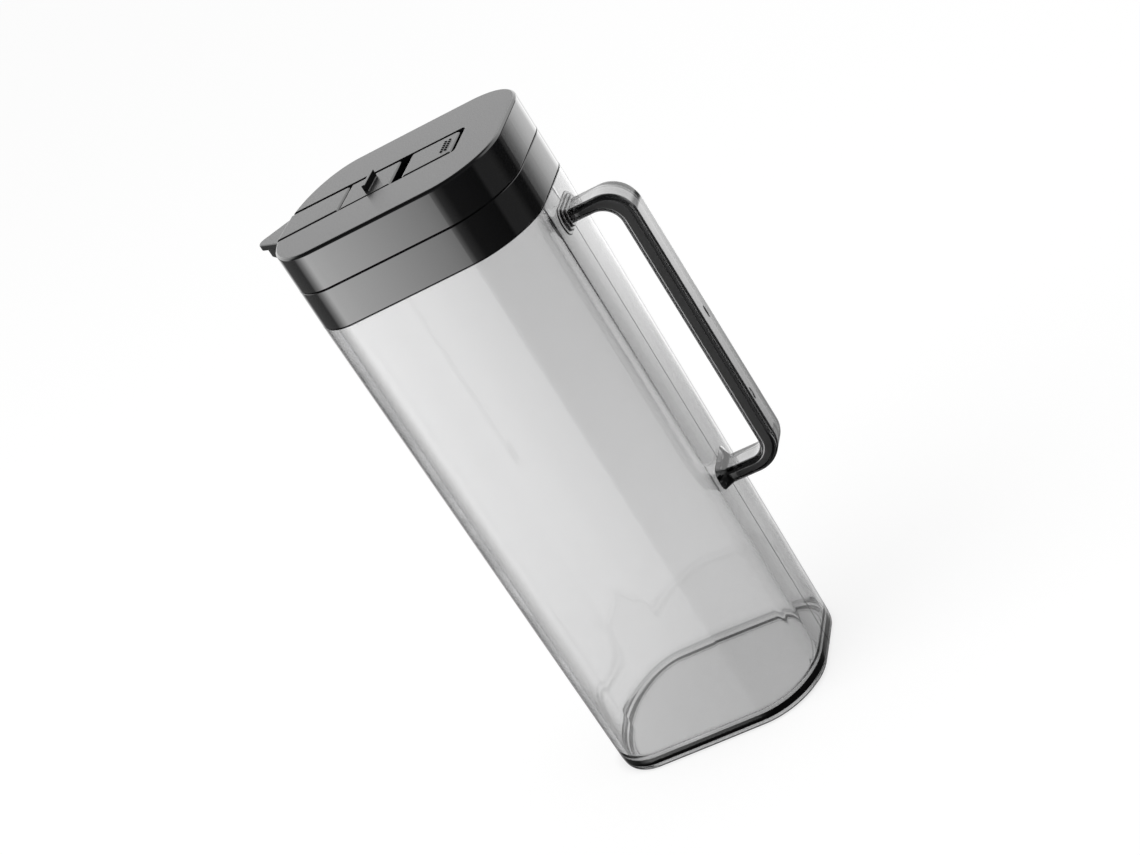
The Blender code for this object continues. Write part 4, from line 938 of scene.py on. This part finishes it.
# Painted shade: the thumb fin's end faces take a nearly unreflecting black copy of the lid plastic that stands
# in for their shade.
fin_shade_plastic, _ = finish(
    "painted_shade_black_plastic",
    ((0.004, 0.0041, 0.0043), (0.007, 0.0071, 0.0074)),
    (0.5, 0.62),
    (0.3, 0.00004),
    flow_scale=30,
    grain_scale=1800,
    IOR=1.08,
)
lock_plate.data.materials.append(fin_shade_plastic)
# The fin's faces across the jug take the painted shade black.
for face in lock_plate.data.polygons:
    if face.center.z > plate_top_z + 0.0003 and abs(face.normal.x) > 0.9:
        face.material_index = 2
settle(lock_plate, "lock", "lid_plastic", "lock_slider")

# Camera. It stands at the handle's near side and looks down on the jug, turned about its own axis.
camera = bpy.data.objects.new("camera", bpy.data.cameras.new("camera"))
bpy.context.scene.collection.objects.link(camera)
camera.data.sensor_width, camera.data.lens = 36, 90.31
camera.data.clip_start, camera.data.clip_end = 0.05, 30
turned = Matrix(((0.84698, 0.39091, 0.36030), (0.15206, 0.47128, -0.86878), (-0.50941, 0.79062, 0.33972)))
camera.matrix_world = Matrix.Translation((0.43839, -1.06467, 0.56080)) @ turned.to_4x4()
bpy.context.scene.camera = camera

# Floor. A wide white sheet under the jug that keeps its soft shadow. Its glow is dimmed near and under the
# foot, a painted shadow.
floor = bpy.data.objects.new("floor", bpy.data.meshes.new("floor"))
sheet_corners = [(x, y, -0.0003) for x, y in ((-9, -9), (9, -9), (9, 9), (-9, 9))]
floor.data.from_pydata(sheet_corners, [], [(0, 1, 2, 3)])
bpy.context.scene.collection.objects.link(floor)
sheet = bpy.data.materials.new("white_sheet")
sheet.use_nodes = True
tree = sheet.node_tree
tree.nodes.clear()
vectors = "ShaderNodeVectorMath"
place = node(tree, "ShaderNodeTexCoord").outputs["Object"]
place = maths(tree, "ADD", place, (-middle_x, 0, 0), kind=vectors)
place = maths(tree, "SUBTRACT", maths(tree, "ABSOLUTE", place, kind=vectors), (0.024, 0.0165, 1), kind=vectors)
place = maths(tree, "MAXIMUM", place, (0, 0, 0), kind=vectors)
from_middle = node(tree, vectors, {0: place}, operation="LENGTH").outputs["Value"]
# Painted shadow: the glow dims to 0.84 near and under the foot and rises to 1.15 further out.
painted_shadow_glow = ranged(tree, from_middle, 0.022, 0.032, 0.84, 1.15, "SMOOTHSTEP")
ray = node(tree, "ShaderNodeLightPath").outputs
straight = maths(tree, "MAXIMUM", ray["Is Camera Ray"], ray["Is Transmission Ray"])
lit_and_glow = {
    0: maths(tree, "MULTIPLY", straight, 0.7),
    1: node(tree, "ShaderNodeBsdfDiffuse", {"Color": (0.9, 0.9, 0.9, 1)}).outputs[0],
    2: node(tree, "ShaderNodeEmission", {"Strength": painted_shadow_glow}).outputs[0],
}
mix = node(tree, "ShaderNodeMixShader", lit_and_glow)
node(tree, "ShaderNodeOutputMaterial", {"Surface": mix.outputs[0]})
floor.data.materials.append(sheet)
floor.visible_glossy = False

# Studio. White all round for the eye and through the clear plastic. The gloss of the lid mirrors a large
# soft box at the front left, a white wall behind and dark flags between them.
world = bpy.data.worlds.new("studio")
bpy.context.scene.world = world
world.use_nodes = True
tree = world.node_tree
tree.nodes.clear()
direction = node(tree, "ShaderNodeTexCoord").outputs["Generated"]
x, y, z = node(tree, "ShaderNodeSeparateXYZ", {0: direction}).outputs
around = maths(tree, "ARCTAN2", x, maths(tree, "MULTIPLY", y, -1))
walls = node(tree, "ShaderNodeValToRGB", {0: ranged(tree, around, -math.pi, math.pi)})
soft_boxes = [
    (-180, 1.0), (-146, 0.9), (-128, 0.1), (-82, 0.2), (-66, 1.4), (-44, 4.3), (-27, 4.4),
    (-21, 2.0), (-20, 1.1), (-8, 0.26), (12, 0.05), (71, 0.02), (77, 0.15), (106, 0.13),
    (122, 0.02), (142, 0.02), (149, 0.09), (158.4, 0.09), (159.4, 0.4), (161, 1.7),
]
ramp = walls.color_ramp.elements
while len(ramp) < len(soft_boxes):
    ramp.new(0.5)
for stop, (degrees, level) in zip(ramp, soft_boxes):
    stop.position = (degrees + 180) / 360
    stop.color = (level / 5, level / 5, level / 5, 1)


def fade(socket, start, end, low, high):
    """A soft step along one part of the direction."""
    return ranged(tree, socket, start, end, low, high, "SMOOTHSTEP")


ceiling = maths(tree, "MULTIPLY", fade(y, -0.1, 0.25, 0.02, 0.2), fade(z, 0.5, 0.75, 1, 0.1))
above = mixed(tree, fade(z, -0.1, 0.02, 0, 1), walls.outputs["Color"], ceiling)
# The white wall behind the handle ends low, so that it shows in the lid's end and little in the vessel's.
behind = fade(x, 0.05, 0.3, 1, fade(z, -0.38, -0.28, 0.45, 1))
lit = maths(tree, "MULTIPLY", fade(z, -0.56, -0.25, 0, 1), behind)
mirrored = {"Color": mixed(tree, lit, (0.006, 0.006, 0.006, 1), above), "Strength": 5}
ray = node(tree, "ShaderNodeLightPath").outputs
seen = fade(ray["Is Camera Ray"], 0, 1, 0.6, 1.0)
through = mixed(tree, ray["Is Transmission Ray"], seen, fade(z, 0.45, 0.75, 0.8, 0.16), "FLOAT")
studio = {
    0: ray["Is Glossy Ray"],
    1: node(tree, "ShaderNodeBackground", {"Color": (1, 1, 1, 1), "Strength": through}).outputs[0],
    2: node(tree, "ShaderNodeBackground", mirrored).outputs[0],
}
node(tree, "ShaderNodeOutputWorld", {"Surface": node(tree, "ShaderNodeMixShader", studio).outputs[0]})

key = bpy.data.objects.new("soft_box", bpy.data.lights.new("soft_box", "AREA"))
bpy.context.scene.collection.objects.link(key)
key.data.shape, key.data.size, key.data.size_y, key.data.energy = "RECTANGLE", 1.6, 1.2, 9
key.location = (-0.7, -0.6, 1.5)
key.rotation_euler = Vector((-0.7, -0.6, 1.4)).to_track_quat("Z", "Y").to_euler()
key.visible_camera = key.visible_glossy = key.visible_transmission = False

bpy.context.scene.view_settings.view_transform = "Standard"
